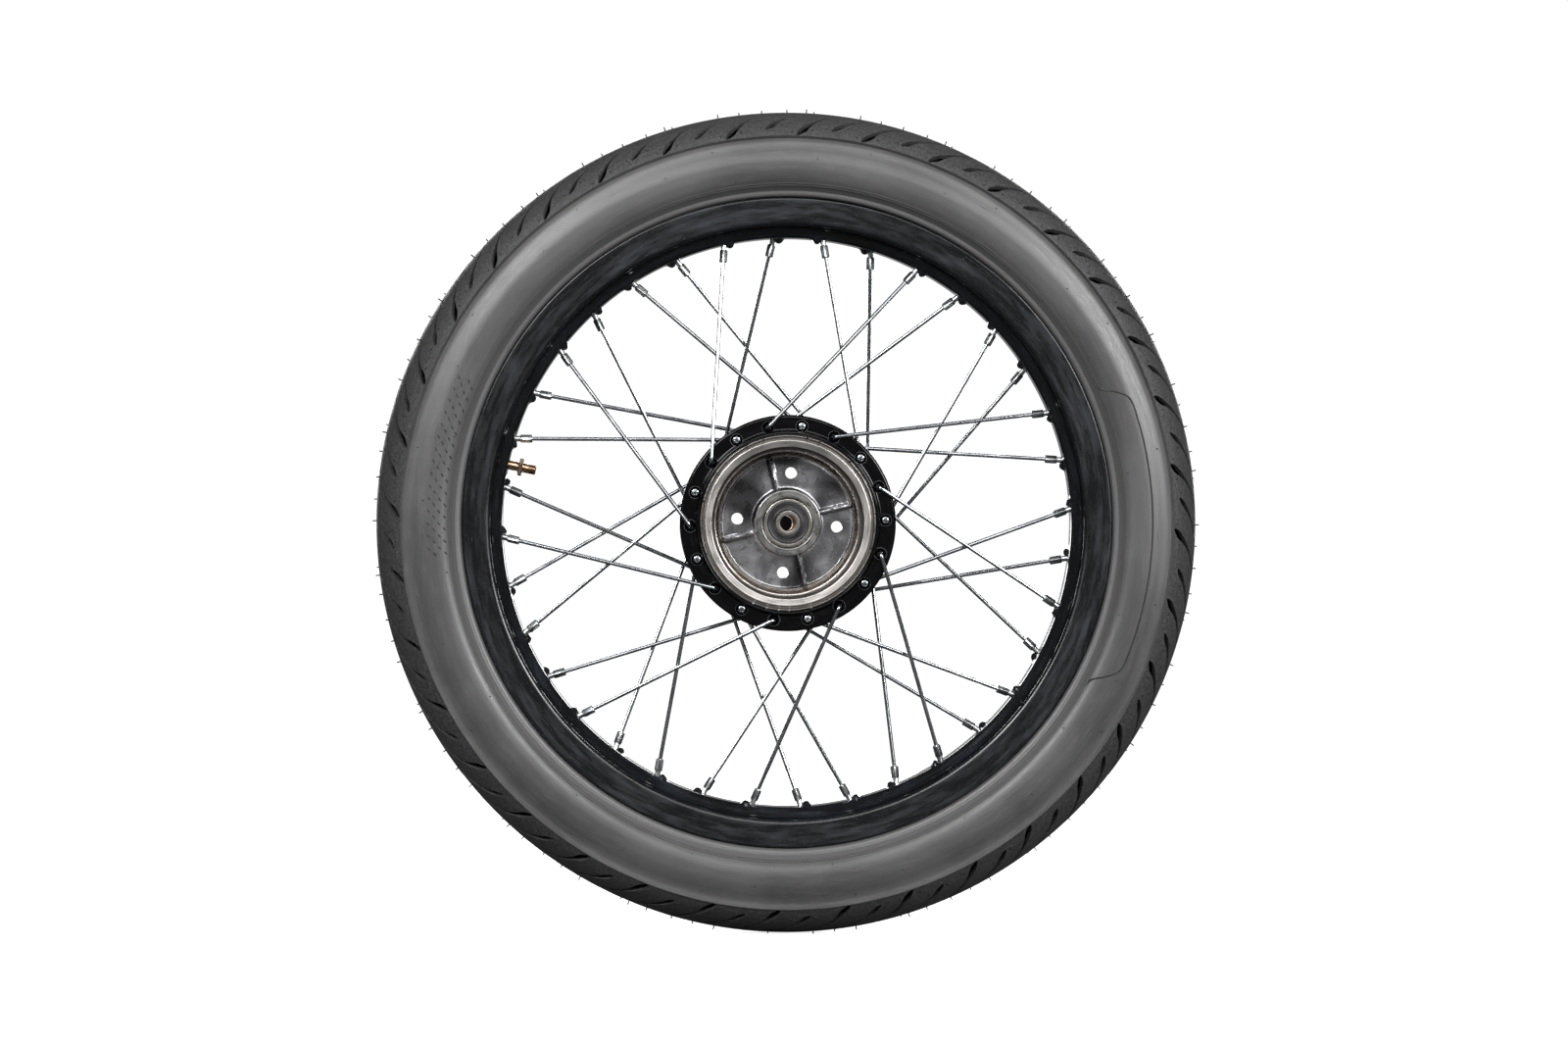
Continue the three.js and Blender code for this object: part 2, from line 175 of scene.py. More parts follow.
rounded_square = filleted([(0, 0, 2), (9, 0, 0), (9, 9, 0)])
print("a 2 mm fillet on a square corner has", len(rounded_square) - 2, "points")


# %% Meshes
def object_from(name, points_mm, faces, sharp=30.0):
    """A smooth-shaded mesh object, its place in its mesh, its faces pointing out."""
    mesh = bpy.data.meshes.new(name)
    mesh.from_pydata([tuple(p) for p in np.asarray(points_mm, float) * MM], [], faces)
    made = bpy.data.objects.new(name, mesh)
    bpy.context.scene.collection.objects.link(made)
    tidy_faces(made, sharp)
    return made


def tidy_faces(made, sharp=30.0):
    """Merges doubles, turns the faces outwards and shades the mesh smooth but for sharp edges."""
    work = bmesh.new()
    work.from_mesh(made.data)
    bmesh.ops.remove_doubles(work, verts=work.verts, dist=1e-7)
    bmesh.ops.recalc_face_normals(work, faces=work.faces)
    work.to_mesh(made.data)
    work.free()
    made.data.shade_smooth()
    made.data.set_sharp_from_angle(angle=math.radians(sharp))


def ring_faces(rings, sides, closed=False):
    """Faces between rings of points. The ends are capped unless the last ring joins the first."""
    faces = [
        (i * sides + k, i * sides + (k + 1) % sides,
         (i + 1) % rings * sides + (k + 1) % sides, (i + 1) % rings * sides + k)
        for i in range(rings if closed else rings - 1) for k in range(sides)
    ]
    if not closed:
        faces += [tuple(reversed(range(sides))), tuple(range((rings - 1) * sides, rings * sides))]
    return faces


def turned(name, outline, segments, shape=None, sharp=30.0):
    """A closed outline of (radius, y) swept round the axle. shape moves its points in place."""
    outline = np.asarray(outline, float)
    angles = np.arange(segments) * 2 * math.pi / segments
    radius = np.repeat(outline[None, :, 0], segments, 0)
    along = np.repeat(outline[None, :, 1], segments, 0)
    turn = np.repeat(angles[:, None], len(outline), 1)
    if shape:
        radius, along = shape(radius, along, turn)
    points = np.stack([radius * np.sin(turn), along, radius * np.cos(turn)], 2).reshape(-1, 3)
    return object_from(name, points, ring_faces(segments, len(outline), closed=True), sharp)


def swept(name, path, radii, sides, section=None, sharp=30.0):
    """A closed tube along a path, with its own radius at each point; section(angle, radius)
    may replace the round section."""
    path = [Vector(p) for p in path]
    ways = [(path[min(i + 1, len(path) - 1)] - path[max(i - 1, 0)]).normalized()
            for i in range(len(path))]
    side = ways[0].orthogonal().normalized()
    points = []
    for place, way, radius in zip(path, ways, radii):
        side = (side - way * side.dot(way)).normalized()
        other = way.cross(side)
        for k in range(sides):
            angle = 2 * math.pi * k / sides
            reach = section(angle, radius) if section else radius
            points.append(place + (side * math.cos(angle) + other * math.sin(angle)) * reach)
    return object_from(name, points, ring_faces(len(path), sides), sharp)


def plain_mesh(made):
    """Turns what an object's modifiers make into its own mesh, and removes them."""
    graph = bpy.context.evaluated_depsgraph_get()
    mesh = bpy.data.meshes.new_from_object(made.evaluated_get(graph), depsgraph=graph)
    made.modifiers.clear()
    made.data = mesh
    return made


def even_shading(made):
    """Weights the shading by face size, so flat faces stay flat beside their small fillets."""
    modifier = made.modifiers.new("even", "WEIGHTED_NORMAL")
    modifier.keep_sharp = True
    modifier.weight = 100
    return plain_mesh(made)


def cut(made, cutter, sharp=30.0):
    """Takes a closed cutter away from a closed mesh."""
    modifier = made.modifiers.new("cut", "BOOLEAN")
    modifier.operation = "DIFFERENCE"
    modifier.solver = "MANIFOLD"
    modifier.object = cutter
    plain_mesh(made)
    bpy.data.objects.remove(cutter)
    made.data.shade_smooth()
    made.data.set_sharp_from_angle(angle=math.radians(sharp))
    return made


# %% [markdown]
# ## Copies round the axle
# Spokes, nipples, tread grooves and holes all repeat round the axle. One Geometry Nodes tree
# makes the copies: an instance of the piece on each of a number of points at the origin,
# each turned a step further about Y, then made real.


# %% A node adder and the ring tree
def add_node(tree, kind, inputs=None, **settings):
    """Adds a node with its settings; an input is a value, or a socket to link from."""
    made = tree.nodes.new(kind)
    for name, value in settings.items():
        setattr(made, name, value)
    for name, value in (inputs or {}).items():
        if isinstance(value, bpy.types.NodeSocket):
            tree.links.new(value, made.inputs[name])
        else:
            made.inputs[name].default_value = value
    return made


def new_tree(name, inputs):
    """An empty Geometry Nodes tree with a geometry in and out and named inputs."""
    tree = bpy.data.node_groups.new(name, "GeometryNodeTree")
    tree.interface.new_socket("Geometry", in_out="INPUT", socket_type="NodeSocketGeometry")
    for label, kind in inputs.items():
        tree.interface.new_socket(label, in_out="INPUT", socket_type=kind)
    tree.interface.new_socket("Geometry", in_out="OUTPUT", socket_type="NodeSocketGeometry")
    return tree


def run_tree(made, tree, values):
    """Runs a tree on an object and keeps the result as its plain mesh."""
    modifier = made.modifiers.new(tree.name, "NODES")
    modifier.node_group = tree
    for item in tree.interface.items_tree:
        if item.item_type == "SOCKET" and item.in_out == "INPUT" and item.name in values:
            modifier[item.identifier] = values[item.name]
    made.update_tag()
    return plain_mesh(made)


def ring_tree():
    tree = new_tree("ring_of_copies", {
        "Copies": "NodeSocketInt", "Step": "NodeSocketFloat", "Jitter": "NodeSocketFloat",
        "Seed": "NodeSocketInt", "Material": "NodeSocketMaterial",
    })
    given = add_node(tree, "NodeGroupInput").outputs
    points = add_node(tree, "GeometryNodePoints", {"Count": given["Copies"]})
    index = add_node(tree, "GeometryNodeInputIndex")
    stepped = add_node(tree, "ShaderNodeMath", {0: index.outputs[0], 1: given["Step"]},
                       operation="MULTIPLY")
    low = add_node(tree, "ShaderNodeMath", {0: given["Jitter"], 1: -1.0}, operation="MULTIPLY")
    loose = add_node(tree, "FunctionNodeRandomValue", {
        2: low.outputs[0], 3: given["Jitter"], "Seed": given["Seed"],
    }, data_type="FLOAT")
    angle = add_node(tree, "ShaderNodeMath", {0: stepped.outputs[0], 1: loose.outputs[1]})
    turn = add_node(tree, "ShaderNodeCombineXYZ", {"Y": angle.outputs[0]})
    copies = add_node(tree, "GeometryNodeInstanceOnPoints", {
        "Points": points.outputs[0], "Instance": given["Geometry"], "Rotation": turn.outputs[0],
    })
    real = add_node(tree, "GeometryNodeRealizeInstances", {"Geometry": copies.outputs[0]})
    finished = add_node(tree, "GeometryNodeSetMaterial", {
        "Geometry": real.outputs[0], "Material": given["Material"],
    })
    add_node(tree, "NodeGroupOutput", {"Geometry": finished.outputs[0]})
    return tree


RING = ring_tree()


def ring_copies(made, copies, jitter=0.0, seed=1, material=None):
    """Evenly spaced copies of a piece round the axle; the jitter is in degrees."""
    return run_tree(made, RING, {
        "Copies": copies, "Step": math.radians(360 / copies), "Jitter": math.radians(jitter),
        "Seed": seed, "Material": material,
    })


def joined(name, parts):
    """One object from several, in one mesh."""
    points, faces = [], []
    for part in parts:
        start = len(points)
        points.extend(v.co / MM for v in part.data.vertices)
        faces.extend([start + v for v in p.vertices] for p in part.data.polygons)
        bpy.data.objects.remove(part)
    return object_from(name, points, faces)


print("the ring tree has", len(RING.nodes), "nodes")

# %% [markdown]
# ## Finishes
# A material here is one Principled shader and a few pattern nodes. A turned or moulded finish
# follows the axle, so two helpers give every material the distance from the axle and the
# angle round it, worked out from Object coordinates.


# %% Colours and material helpers
def rgb(code):
    """An sRGB hex colour as the linear values that a shader takes."""
    parts = [int(code[i:i + 2], 16) / 255 for i in (0, 2, 4)]
    return tuple(c / 12.92 if c <= 0.04045 else ((c + 0.055) / 1.055) ** 2.4 for c in parts) + (1,)


def finish(name, colour, roughness, metallic=0.0, **others):
    """A new material and its shader, with values that are the same all over."""
    made = bpy.data.materials.new(name)
    made.use_nodes = True
    shader = made.node_tree.nodes["Principled BSDF"]
    settings = {"Base Color": rgb(colour), "Roughness": roughness, "Metallic": metallic}
    settings.update(others)
    for key, value in settings.items():
        shader.inputs[key].default_value = value
    return made, made.node_tree, shader


def math_node(tree, operation, *values):
    """The result of one sum on numbers or sockets."""
    return add_node(tree, "ShaderNodeMath", dict(enumerate(values)), operation=operation).outputs[0]


def place_on_wheel(tree):
    """Object coordinates, distance from the axle and angle, in metres and radians."""
    spot = add_node(tree, "ShaderNodeTexCoord").outputs["Object"]
    parts = add_node(tree, "ShaderNodeSeparateXYZ", {0: spot}).outputs
    radius = math_node(tree, "SQRT", math_node(
        tree, "ADD", math_node(tree, "MULTIPLY", parts[0], parts[0]),
        math_node(tree, "MULTIPLY", parts[2], parts[2])))
    return spot, radius, math_node(tree, "ARCTAN2", parts[0], parts[2]), parts[1]


def speckle(tree, spot, size_mm, detail=4.0, roughness=0.6):
    """Noise whose grains are about a size across."""
    return add_node(tree, "ShaderNodeTexNoise", {
        "Vector": spot, "Scale": 1000 / size_mm, "Detail": detail, "Roughness": roughness,
    }).outputs[0]


def stretched(tree, radius, angle, y, per_radius, per_angle, per_y):
    """A pattern position drawn out along the turning: three scales in mm and degrees."""
    return add_node(tree, "ShaderNodeCombineXYZ", {
        "X": math_node(tree, "MULTIPLY", radius, 1000 / per_radius),
        "Y": math_node(tree, "MULTIPLY", angle, 57.3 / per_angle),
        "Z": math_node(tree, "MULTIPLY", y, 1000 / per_y),
    }).outputs[0]


def fitted(tree, value, low, high, to_low=0.0, to_high=1.0):
    """A number moved smoothly from one range to another and held inside it."""
    return add_node(tree, "ShaderNodeMapRange", {
        0: value, 1: low, 2: high, 3: to_low, 4: to_high,
    }, interpolation_type="SMOOTHSTEP").outputs[0]


def blended(tree, amount, first, second):
    """Two colours mixed by an amount; a colour is a hex code or a socket."""
    made = add_node(tree, "ShaderNodeMix", {0: amount}, data_type="RGBA")
    for socket, colour in ((made.inputs[6], first), (made.inputs[7], second)):
        if isinstance(colour, str):
            socket.default_value = rgb(colour)
        else:
            tree.links.new(colour, socket)
    return made.outputs[2]


def roughen(tree, shader, height, depth_mm, strength=1.0, under=None):
    """Bump from a height between 0 and 1, standing for a depth in millimetres."""
    made = add_node(tree, "ShaderNodeBump", {
        "Height": height, "Distance": depth_mm * MM, "Strength": strength,
    })
    if under:
        tree.links.new(under.outputs[0], made.inputs["Normal"])
    tree.links.new(made.outputs[0], shader.inputs["Normal"])
    return made


def coated(made, *materials):
    """A piece with these materials and no others."""
    made.data.materials.clear()
    for material in materials:
        made.data.materials.append(material)
    return made


print("black enamel in linear light:", [round(c, 4) for c in rgb("0a0b0d")[:3]])

# %% [markdown]
# ## Rubber
# The tyre is carbon-black rubber, moulded hot. Its sidewall copies a polished mould and has
# been wiped, so it is satin, with paler smears that follow the turning. The tread is duller:
# its skin is scuffed and dusty. Rubber's IOR is about 1.52.


# %% Moulded tyre rubber
def tyre_rubber():
    made, tree, shader = finish("moulded_tyre_rubber", "2c2b2a", 0.5, IOR=1.52)
    spot, radius, angle, y = place_on_wheel(tree)
    tread = fitted(tree, radius, 0.2872, 0.2882)
    wiped = speckle(tree, stretched(tree, radius, angle, y, 1.1, 3.0, 30.0), 1000, 5.0, 0.6)
    clouds = speckle(tree, spot, 90, 4.0, 0.5)
    dust = speckle(tree, spot, 1.6, 5.0, 0.7)
    wall = blended(tree, fitted(tree, clouds, 0.35, 0.65), "343333", "424141")
    wall = blended(tree, fitted(tree, wiped, 0.50, 0.78, 0.0, 0.55), wall, "4e4b4b")
    # Paler towards the bead, inside 256 mm from the axle: a painted sheen for the light that the bead rib
    # catches.
    wall = blended(tree, fitted(tree, radius, 0.2560, 0.2500, 0.0, 0.8), wall, "504f4f")
    worn = blended(tree, fitted(tree, dust, 0.40, 0.72), "242425", "444344")
    colour = blended(tree, tread, wall, worn)
    tree.links.new(colour, shader.inputs["Base Color"])
    gloss = math_node(tree, "ADD", fitted(tree, wiped, 0.3, 0.75, 0.38, 0.47),
                      fitted(tree, dust, 0.3, 0.7, -0.03, 0.05))
    gloss = math_node(tree, "ADD", gloss, math_node(tree, "MULTIPLY", tread, 0.12))
    tree.links.new(gloss, shader.inputs["Roughness"])
    pores = speckle(tree, spot, 0.9, 3.0, 0.5)
    hide = math_node(tree, "MULTIPLY", tread, speckle(tree, spot, 3.0, 4.0, 0.7))
    grain = math_node(tree, "ADD", math_node(tree, "MULTIPLY", pores, 0.15), hide)
    first = roughen(tree, shader, grain, 0.5, 0.6)
    roughen(tree, shader, wiped, 0.05, 0.3, first)
    return made


TYRE_RUBBER = tyre_rubber()


def plain_rubber(name, colour, roughness, grain_mm):
    """The softer rubber of the tube, the tape and the bearing seals, dull with talc or grease."""
    made, tree, shader = finish(name, colour, roughness, IOR=1.52)
    spot, radius, angle, y = place_on_wheel(tree)
    talc = speckle(tree, spot, 12, 4.0, 0.6)
    pale = "%02x%02x%02x" % tuple(min(255, int(colour[i:i + 2], 16) + 18) for i in (0, 2, 4))
    tree.links.new(blended(tree, fitted(tree, talc, 0.4, 0.7), colour, pale), shader.inputs["Base Color"])
    tree.links.new(fitted(tree, talc, 0.3, 0.7, roughness - 0.08, roughness + 0.08),
                   shader.inputs["Roughness"])
    roughen(tree, shader, speckle(tree, spot, grain_mm, 3.0), 0.05, 0.5)
    return made


TUBE_RUBBER = plain_rubber("butyl_tube_rubber", "1d1c1b", 0.62, 1.5)
TAPE_RUBBER = plain_rubber("rim_tape_rubber", "232220", 0.66, 1.0)
SEAL_RUBBER = plain_rubber("nitrile_seal_rubber", "09090b", 0.40, 0.7)
# A darker rubber for the tyre's hairs, pins and raised marks: painted shade, since such thin marks look
# darker than the wall.
SHADED_MARK_RUBBER = plain_rubber("mark_rubber_painted_shade", "0e0e0e", 0.55, 0.5)
# A near-black for the walls of the small notches round the drum's lip: painted shade, for the shade down
# in the notches.
NOTCH_SHADE = plain_rubber("notch_painted_shade", "0d0c0b", 0.8, 0.6)
print("dull blacks:", [m.name for m in bpy.data.materials])

# %% [markdown]
# ## Black enamel and black paint
# The steel rim is enamelled: a thick stoved coat, nearly a mirror, with orange peel a few
# millimetres across, a few dust nibs and hairline scratches. The hub's barrel and flanges have
# a thinner sprayed coat over the casting, which keeps the casting's grain and reflects less.
# Both have an IOR of 1.5, which is usual for paint, and a base roughness of 0.2 to 0.24.


# %% Black coats
def black_enamel():
    made, tree, shader = finish("stoved_black_enamel", "0b0c0f", 0.24, IOR=1.5)
    spot, radius, angle, y = place_on_wheel(tree)
    haze = speckle(tree, stretched(tree, radius, angle, y, 5.0, 9.0, 6.0), 1000, 6.0, 0.65)
    nibs = speckle(tree, spot, 1.2, 2.0, 0.5)
    scratches = speckle(tree, stretched(tree, radius, angle, y, 0.6, 2.6, 0.6), 1000, 4.0, 0.65)
    colour = blended(tree, fitted(tree, haze, 0.42, 0.76, 0.0, 0.55), "08090b", "1e242b")
    colour = blended(tree, fitted(tree, nibs, 0.72, 0.78, 0.0, 0.4), colour, "6f7479")
    colour = blended(tree, fitted(tree, scratches, 0.60, 0.76, 0.0, 0.5), colour, "474c52")
    tree.links.new(colour, shader.inputs["Base Color"])
    flange = fitted(tree, radius, 0.2225, 0.2250)
    smooth = fitted(tree, haze, 0.3, 0.75, 0.08, 0.18)
    dull = fitted(tree, haze, 0.30, 0.75, 0.20, 0.42)
    tree.links.new(add_node(tree, "ShaderNodeMix", {0: flange, 2: smooth, 3: dull}).outputs[0],
                   shader.inputs["Roughness"])
    peel = speckle(tree, spot, 2.6, 3.0, 0.5)
    first = roughen(tree, shader, peel, 0.03, 0.4)
    roughen(tree, shader, scratches, 0.02, 0.5, first)
    return made


def black_hub_paint():
    made, tree, shader = finish("sprayed_black_hub_paint", "08080a", 0.2, IOR=1.5)
    spot, radius, angle, y = place_on_wheel(tree)
    haze = speckle(tree, stretched(tree, radius, angle, y, 4.0, 14.0, 8.0), 1000, 4.0, 0.6)
    chips = speckle(tree, spot, 1.5, 4.0, 0.6)
    colour = blended(tree, fitted(tree, haze, 0.45, 0.8, 0.0, 0.5), "030304", "0d0d0f")
    colour = blended(tree, fitted(tree, chips, 0.76, 0.80, 0.0, 0.6), colour, "6f6c67")
    tree.links.new(colour, shader.inputs["Base Color"])
    tree.links.new(fitted(tree, haze, 0.3, 0.7, 0.09, 0.18), shader.inputs["Roughness"])
    shader.inputs["Specular IOR Level"].default_value = 0.35
    roughen(tree, shader, speckle(tree, spot, 1.4, 3.0), 0.015, 0.2)
    return made


RIM_ENAMEL = black_enamel()
HUB_PAINT = black_hub_paint()
print("enamel nodes:", len(RIM_ENAMEL.node_tree.nodes))

# %% [markdown]
# ## Bare metals
# Four surfaces show how metal was worked. Die-cast aluminium keeps the die's fine grain and a
# dull skin. A turned face has rings left by the tool, a fraction of a millimetre apart; rings
# that fine would vanish at this distance, so they are drawn about a millimetre apart. Zinc
# plate is bright with a faint milky patchiness, and ground bearing steel is the most even.
# The drum's iron is palest where it was turned, brown where the shoes have run, and dark where
# its casting skin is left; its bore is also drawn darker, a painted shade for the shade inside
# the drum. Copper wash and old brass are warm. Metals keep the default IOR, and their base
# roughness runs from 0.15 for bright plate to 0.42 for casting skin.


# %% Cast, turned and plated metal
def cast_metal(name, dark, pale, roughness, grain_mm):
    """The skin of a casting: grainy and dull, with flow marks."""
    made, tree, shader = finish(name, pale, roughness, 1.0)
    spot, radius, angle, y = place_on_wheel(tree)
    clouds = speckle(tree, spot, 11, 5.0, 0.6)
    waves = speckle(tree, spot, 38, 1.0, 0.5)
    grain = speckle(tree, spot, grain_mm, 4.0, 0.7)
    mixed = math_node(tree, "ADD", math_node(tree, "MULTIPLY", waves, 0.86),
                      math_node(tree, "MULTIPLY", clouds, 0.14))
    colour = blended(tree, fitted(tree, mixed, 0.42, 0.60), dark, pale)
    colour = blended(tree, fitted(tree, grain, 0.25, 0.75, 0.35, 0.0), colour, "2f2e2d")
    tree.links.new(colour, shader.inputs["Base Color"])
    tree.links.new(fitted(tree, clouds, 0.3, 0.7, roughness + 0.08, roughness - 0.06),
                   shader.inputs["Roughness"])
    first = roughen(tree, shader, grain, 0.06, 0.35)
    second = roughen(tree, shader, clouds, 0.25, 0.15, first)
    roughen(tree, shader, waves, 3.0, 0.7, second)
    return made


def turned_metal(name, dark, pale, roughness, ring_mm, stain=None, stain_share=0.0, uneven=0.1):
    """A face or a bore cut on a lathe: rings by radius on a face, by depth in a bore."""
    made, tree, shader = finish(name, pale, roughness, 1.0)
    spot, radius, angle, y = place_on_wheel(tree)
    rings = speckle(tree, stretched(tree, radius, angle, y, ring_mm, 90000.0, ring_mm), 1000, 3.0, 0.55)
    smear = speckle(tree, stretched(tree, radius, angle, y, 5.0, 18.0, 6.0), 1000, 5.0, 0.62)
    colour = blended(tree, fitted(tree, rings, 0.3, 0.7), dark, pale)
    if stain:
        share = fitted(tree, smear, 0.66 - stain_share, 0.80 - stain_share * 0.5, 0.0, 0.85)
        colour = blended(tree, share, colour, stain)
    tree.links.new(colour, shader.inputs["Base Color"])
    tree.links.new(fitted(tree, smear, 0.3, 0.75, roughness - uneven * 0.6, roughness + uneven),
                   shader.inputs["Roughness"])
    roughen(tree, shader, rings, 0.012, 0.3)
    return made


def plated_metal(name, dark, pale, roughness):
    """Plated or drawn metal: smooth, with faint cloudy patches."""
    made, tree, shader = finish(name, pale, roughness, 1.0)
    spot, radius, angle, y = place_on_wheel(tree)
    clouds = speckle(tree, spot, 16, 5.0, 0.62)
    fine = speckle(tree, spot, 2.5, 3.0, 0.6)
    colour = blended(tree, fitted(tree, clouds, 0.34, 0.68), dark, pale)
    tree.links.new(colour, shader.inputs["Base Color"])
    tree.links.new(fitted(tree, clouds, 0.3, 0.75, roughness + 0.08, roughness - 0.04),
                   shader.inputs["Roughness"])
    roughen(tree, shader, fine, 0.004, 0.1)
    return made


CAST_ALUMINIUM = cast_metal("die_cast_aluminium", "59595b", "d2d2d5", 0.28, 1.0)
TURNED_ALUMINIUM = turned_metal("turned_aluminium", "7e7d7c", "aaa9a6", 0.30, 0.9, "5f5a55", 0.05)
LIP_METAL = turned_metal("skimmed_hub_lip", "6c6763", "a39e99", 0.34, 0.9, "5b4234", 0.10)
LEDGE_METAL = turned_metal("machined_dish_edge", "8a8480", "c9c3be", 0.26, 0.8, "6b5444", 0.08)
DRUM_IRON = turned_metal("turned_drum_iron", "a09c99", "d0ccc8", 0.32, 0.9, "6f6153", 0.03)
IRON_SKIN = turned_metal("iron_casting_skin", "4a4744", "726d69", 0.42, 0.8, "4a3c32", 0.06)
# The drum's bore: a real brown stain where the shoes run, on a base darkened as painted shade.
SHADED_DRUM_BORE = turned_metal("drum_bore_stain_and_painted_shade", "4a4541", "7d7772", 0.38, 0.9, "4a3628", 0.10)
ZINC = plated_metal("bright_zinc_plate", "868a8e", "c0c4c7", 0.15)
NIPPLE_ZINC = plated_metal("dull_zinc_plate", "9a9ea0", "d2d6d8", 0.28)
BEARING_STEEL = turned_metal("ground_bearing_steel", "9c9792", "c6c1bb", 0.28, 0.7, uneven=0.02)
CAGE_STEEL = plated_metal("pressed_cage_steel", "8d8a86", "b9b6b1", 0.34)
COPPER_TUBE = plated_metal("coppered_spacer_tube", "7d5a44", "b98d6d", 0.36)
# A pale metal for the hoops round the flange holes: a painted highlight for the light on the paint's edge.
HOLE_EDGE_HIGHLIGHT = plated_metal("hole_edge_painted_highlight", "3a3a3c", "85878a", 0.32)
BRASS = plated_metal("drawn_brass", "8a725d", "d6c0a8", 0.24)
print("materials:", len(bpy.data.materials))

# %% [markdown]
# ## The tyre
# A tyre's section is a crown, two walls and two beads. The tread's crown is one arc, the walls
# swell past it, and beside the rim each wall has a rounded rib. Above that are two fine rings,
# which show that the bead sits true. The section is swept round the axle as one closed mesh.


# %% The tyre's section
def crown_radius(y):
    """How far the tread's surface is from the axle."""
    return TYRE_R - CROWN + math.sqrt(CROWN ** 2 - y * y)


WALL = [(243.4, 24.0), (243.8, 27.2), (244.9, 29.0), (246.4, 29.7), (247.8, 30.0), (249.0, 31.4),
        (252.0, 35.0), (256, 37.9), (261.5, 39.5), (267, 39.9), (271, 39.7), (275.5, 38.7), (280, 37.2),
        (283.5, 36.5), (286.2, 36.7)]
RINGS = (251.2, 252.7)
RING_HALF = 0.5
RING_HIGH = 0.6


def tyre_half():
    """Half the section's outside, from the bead's heel up to the middle of the tread."""
    wall = smooth_line(WALL, 6)
    where = smooth_line(WALL, 40)
    rings = []
    for ring in RINGS:
        wall = wall[abs(wall[:, 0] - ring) > 1.1 * RING_HALF]
        for step, lift in ((-1.0, 0), (-0.45, 1), (0.45, 1), (1.0, 0)):
            r = ring + step * RING_HALF
            rings.append((r, np.interp(r, where[:, 0], where[:, 1]) + lift * RING_HIGH))
    wall = np.array(sorted([tuple(p) for p in wall] + rings))
    tread = [(crown_radius(y), y) for y in np.linspace(SHOULDER_Y, 0, 26)[:-1]]
    edge = [(286.9, 37.4), (287.5, 38.1), (288.0, 38.4)]
    bead = [(229.4, 13.4), (229.6, 22.8), (233, 22.6), (241.2, 22.3)]
    return bead + [tuple(p) for p in wall] + edge + tread


half = tyre_half()
inside = [(303.5, 0), (302, 17), (297, 26), (290, 32.5), (278, 34.6), (266, 34.2), (252, 26), (240, 17.5)]
outside = half + [(TYRE_R, 0.0)] + [(r, -y) for r, y in reversed(half)]
back_wall = [(r, -y) for r, y in reversed(inside[1:])] + inside
tyre_section = np.array(outside + back_wall)
TYRE_SEGMENTS = 360
print("the section has", len(tyre_section), "points")

# %% [markdown]
# ## The tread
# The pattern repeats 18 times round the tyre. In each pitch two long grooves sweep in from the
# shoulder and narrow towards the middle, and two shorter ones lie between them. One groove is
# drawn as a path over the crown, with a width at each point, and made a solid; the ring tree
# copies a pitch round the tyre, and a Boolean takes it out of the rubber.

# %% Tread grooves
LONG_GROOVE = [  # degrees on from its shoulder end, distance from the middle, width
    (-0.1, 37.2, 1.4), (0.35, 35.8, 3.8), (0.95, 33.8, 5.0), (1.7, 30.5, 3.6), (2.9, 25.5, 2.3),
    (4.7, 18.5, 1.8), (6.6, 11, 1.5), (8.0, 5, 1.2),
]
SHORT_GROOVE = [
    (0.0, 33.6, 1.4), (0.5, 32.2, 3.2), (1.2, 29.6, 4.0), (2.2, 26, 2.9), (3.6, 21.5, 2.0),
    (5.4, 15.5, 1.7), (6.9, 9.5, 1.3),
]
PITCHES = 18
LONG_STARTS = (1.34, 10.95)
SHORT_STARTS = (6.34, 16.7)
GROOVE_DEPTH = 5.2
SIDES = ((-1, 0.0), (1, 5.0))       # the far half of the pattern is a few degrees on


def groove_solid(name, path, start, side):
    """A closed bar that follows the crown and is as wide as the groove at each point."""
    drawn = smooth_line(path, 4)
    points = [at(crown_radius(y), start + turn, side * y) for turn, y, _ in drawn]
    made, count = [], len(drawn)
    for i, (turn, y, width) in enumerate(drawn):
        lean = math.asin(y / CROWN)
        out = at(math.cos(lean), start + turn, side * math.sin(lean))
        way = points[min(i + 1, count - 1)] - points[max(i - 1, 0)]
        across = way.cross(out).normalized() * width / 2
        deep = GROOVE_DEPTH * min(1.0, 0.35 + width / 5)
        made += [points[i] - across * 1.15 + out * 1.6, points[i] + across * 1.15 + out * 1.6,
                 points[i] + across * 0.75 - out * deep, points[i] - across * 0.75 - out * deep]
    return object_from(name, made, ring_faces(count, 4))


def tread_pitch(side, shift):
    parts = [groove_solid("long", LONG_GROOVE, s + shift, side) for s in LONG_STARTS]
    parts += [groove_solid("short", SHORT_GROOVE, s + shift, side) for s in SHORT_STARTS]
    return ring_copies(joined("pitch", parts), PITCHES)


tyre = turned("tyre_rubber", tyre_section, TYRE_SEGMENTS)
for side, shift in SIDES:
    cut(tyre, tread_pitch(side, shift))
print("tyre:", len(tyre.data.polygons), "faces after cutting")

# %% [markdown]
# ## Moulded marks on the tyre
# Air leaves a mould through small vents, and rubber follows it: that leaves hairs on the crown
# and pins beside the grooves and on the wall. The wall also has a raised panel outline, wear
# triangles and a patch of short dashes. They are tiny, so each has few faces.


# %% Vent hairs, pins and raised marks
def wall_y(radius):
    """How far out the sidewall stands at a radius."""
    upper = [p for p in tyre_half()[4:] if p[0] < 288]
    return float(np.interp(radius, [p[0] for p in upper], [p[1] for p in upper]))


def bump_out(name, radius, angle, y, out, thickness, height, sides=6):
    """A small round stub standing on the rubber."""
    foot = at(radius, angle, y)
    return swept(name, [foot - out * 1.0, foot + out * height * 0.8, foot + out * height],
                 [thickness, thickness, thickness * 0.55], sides)


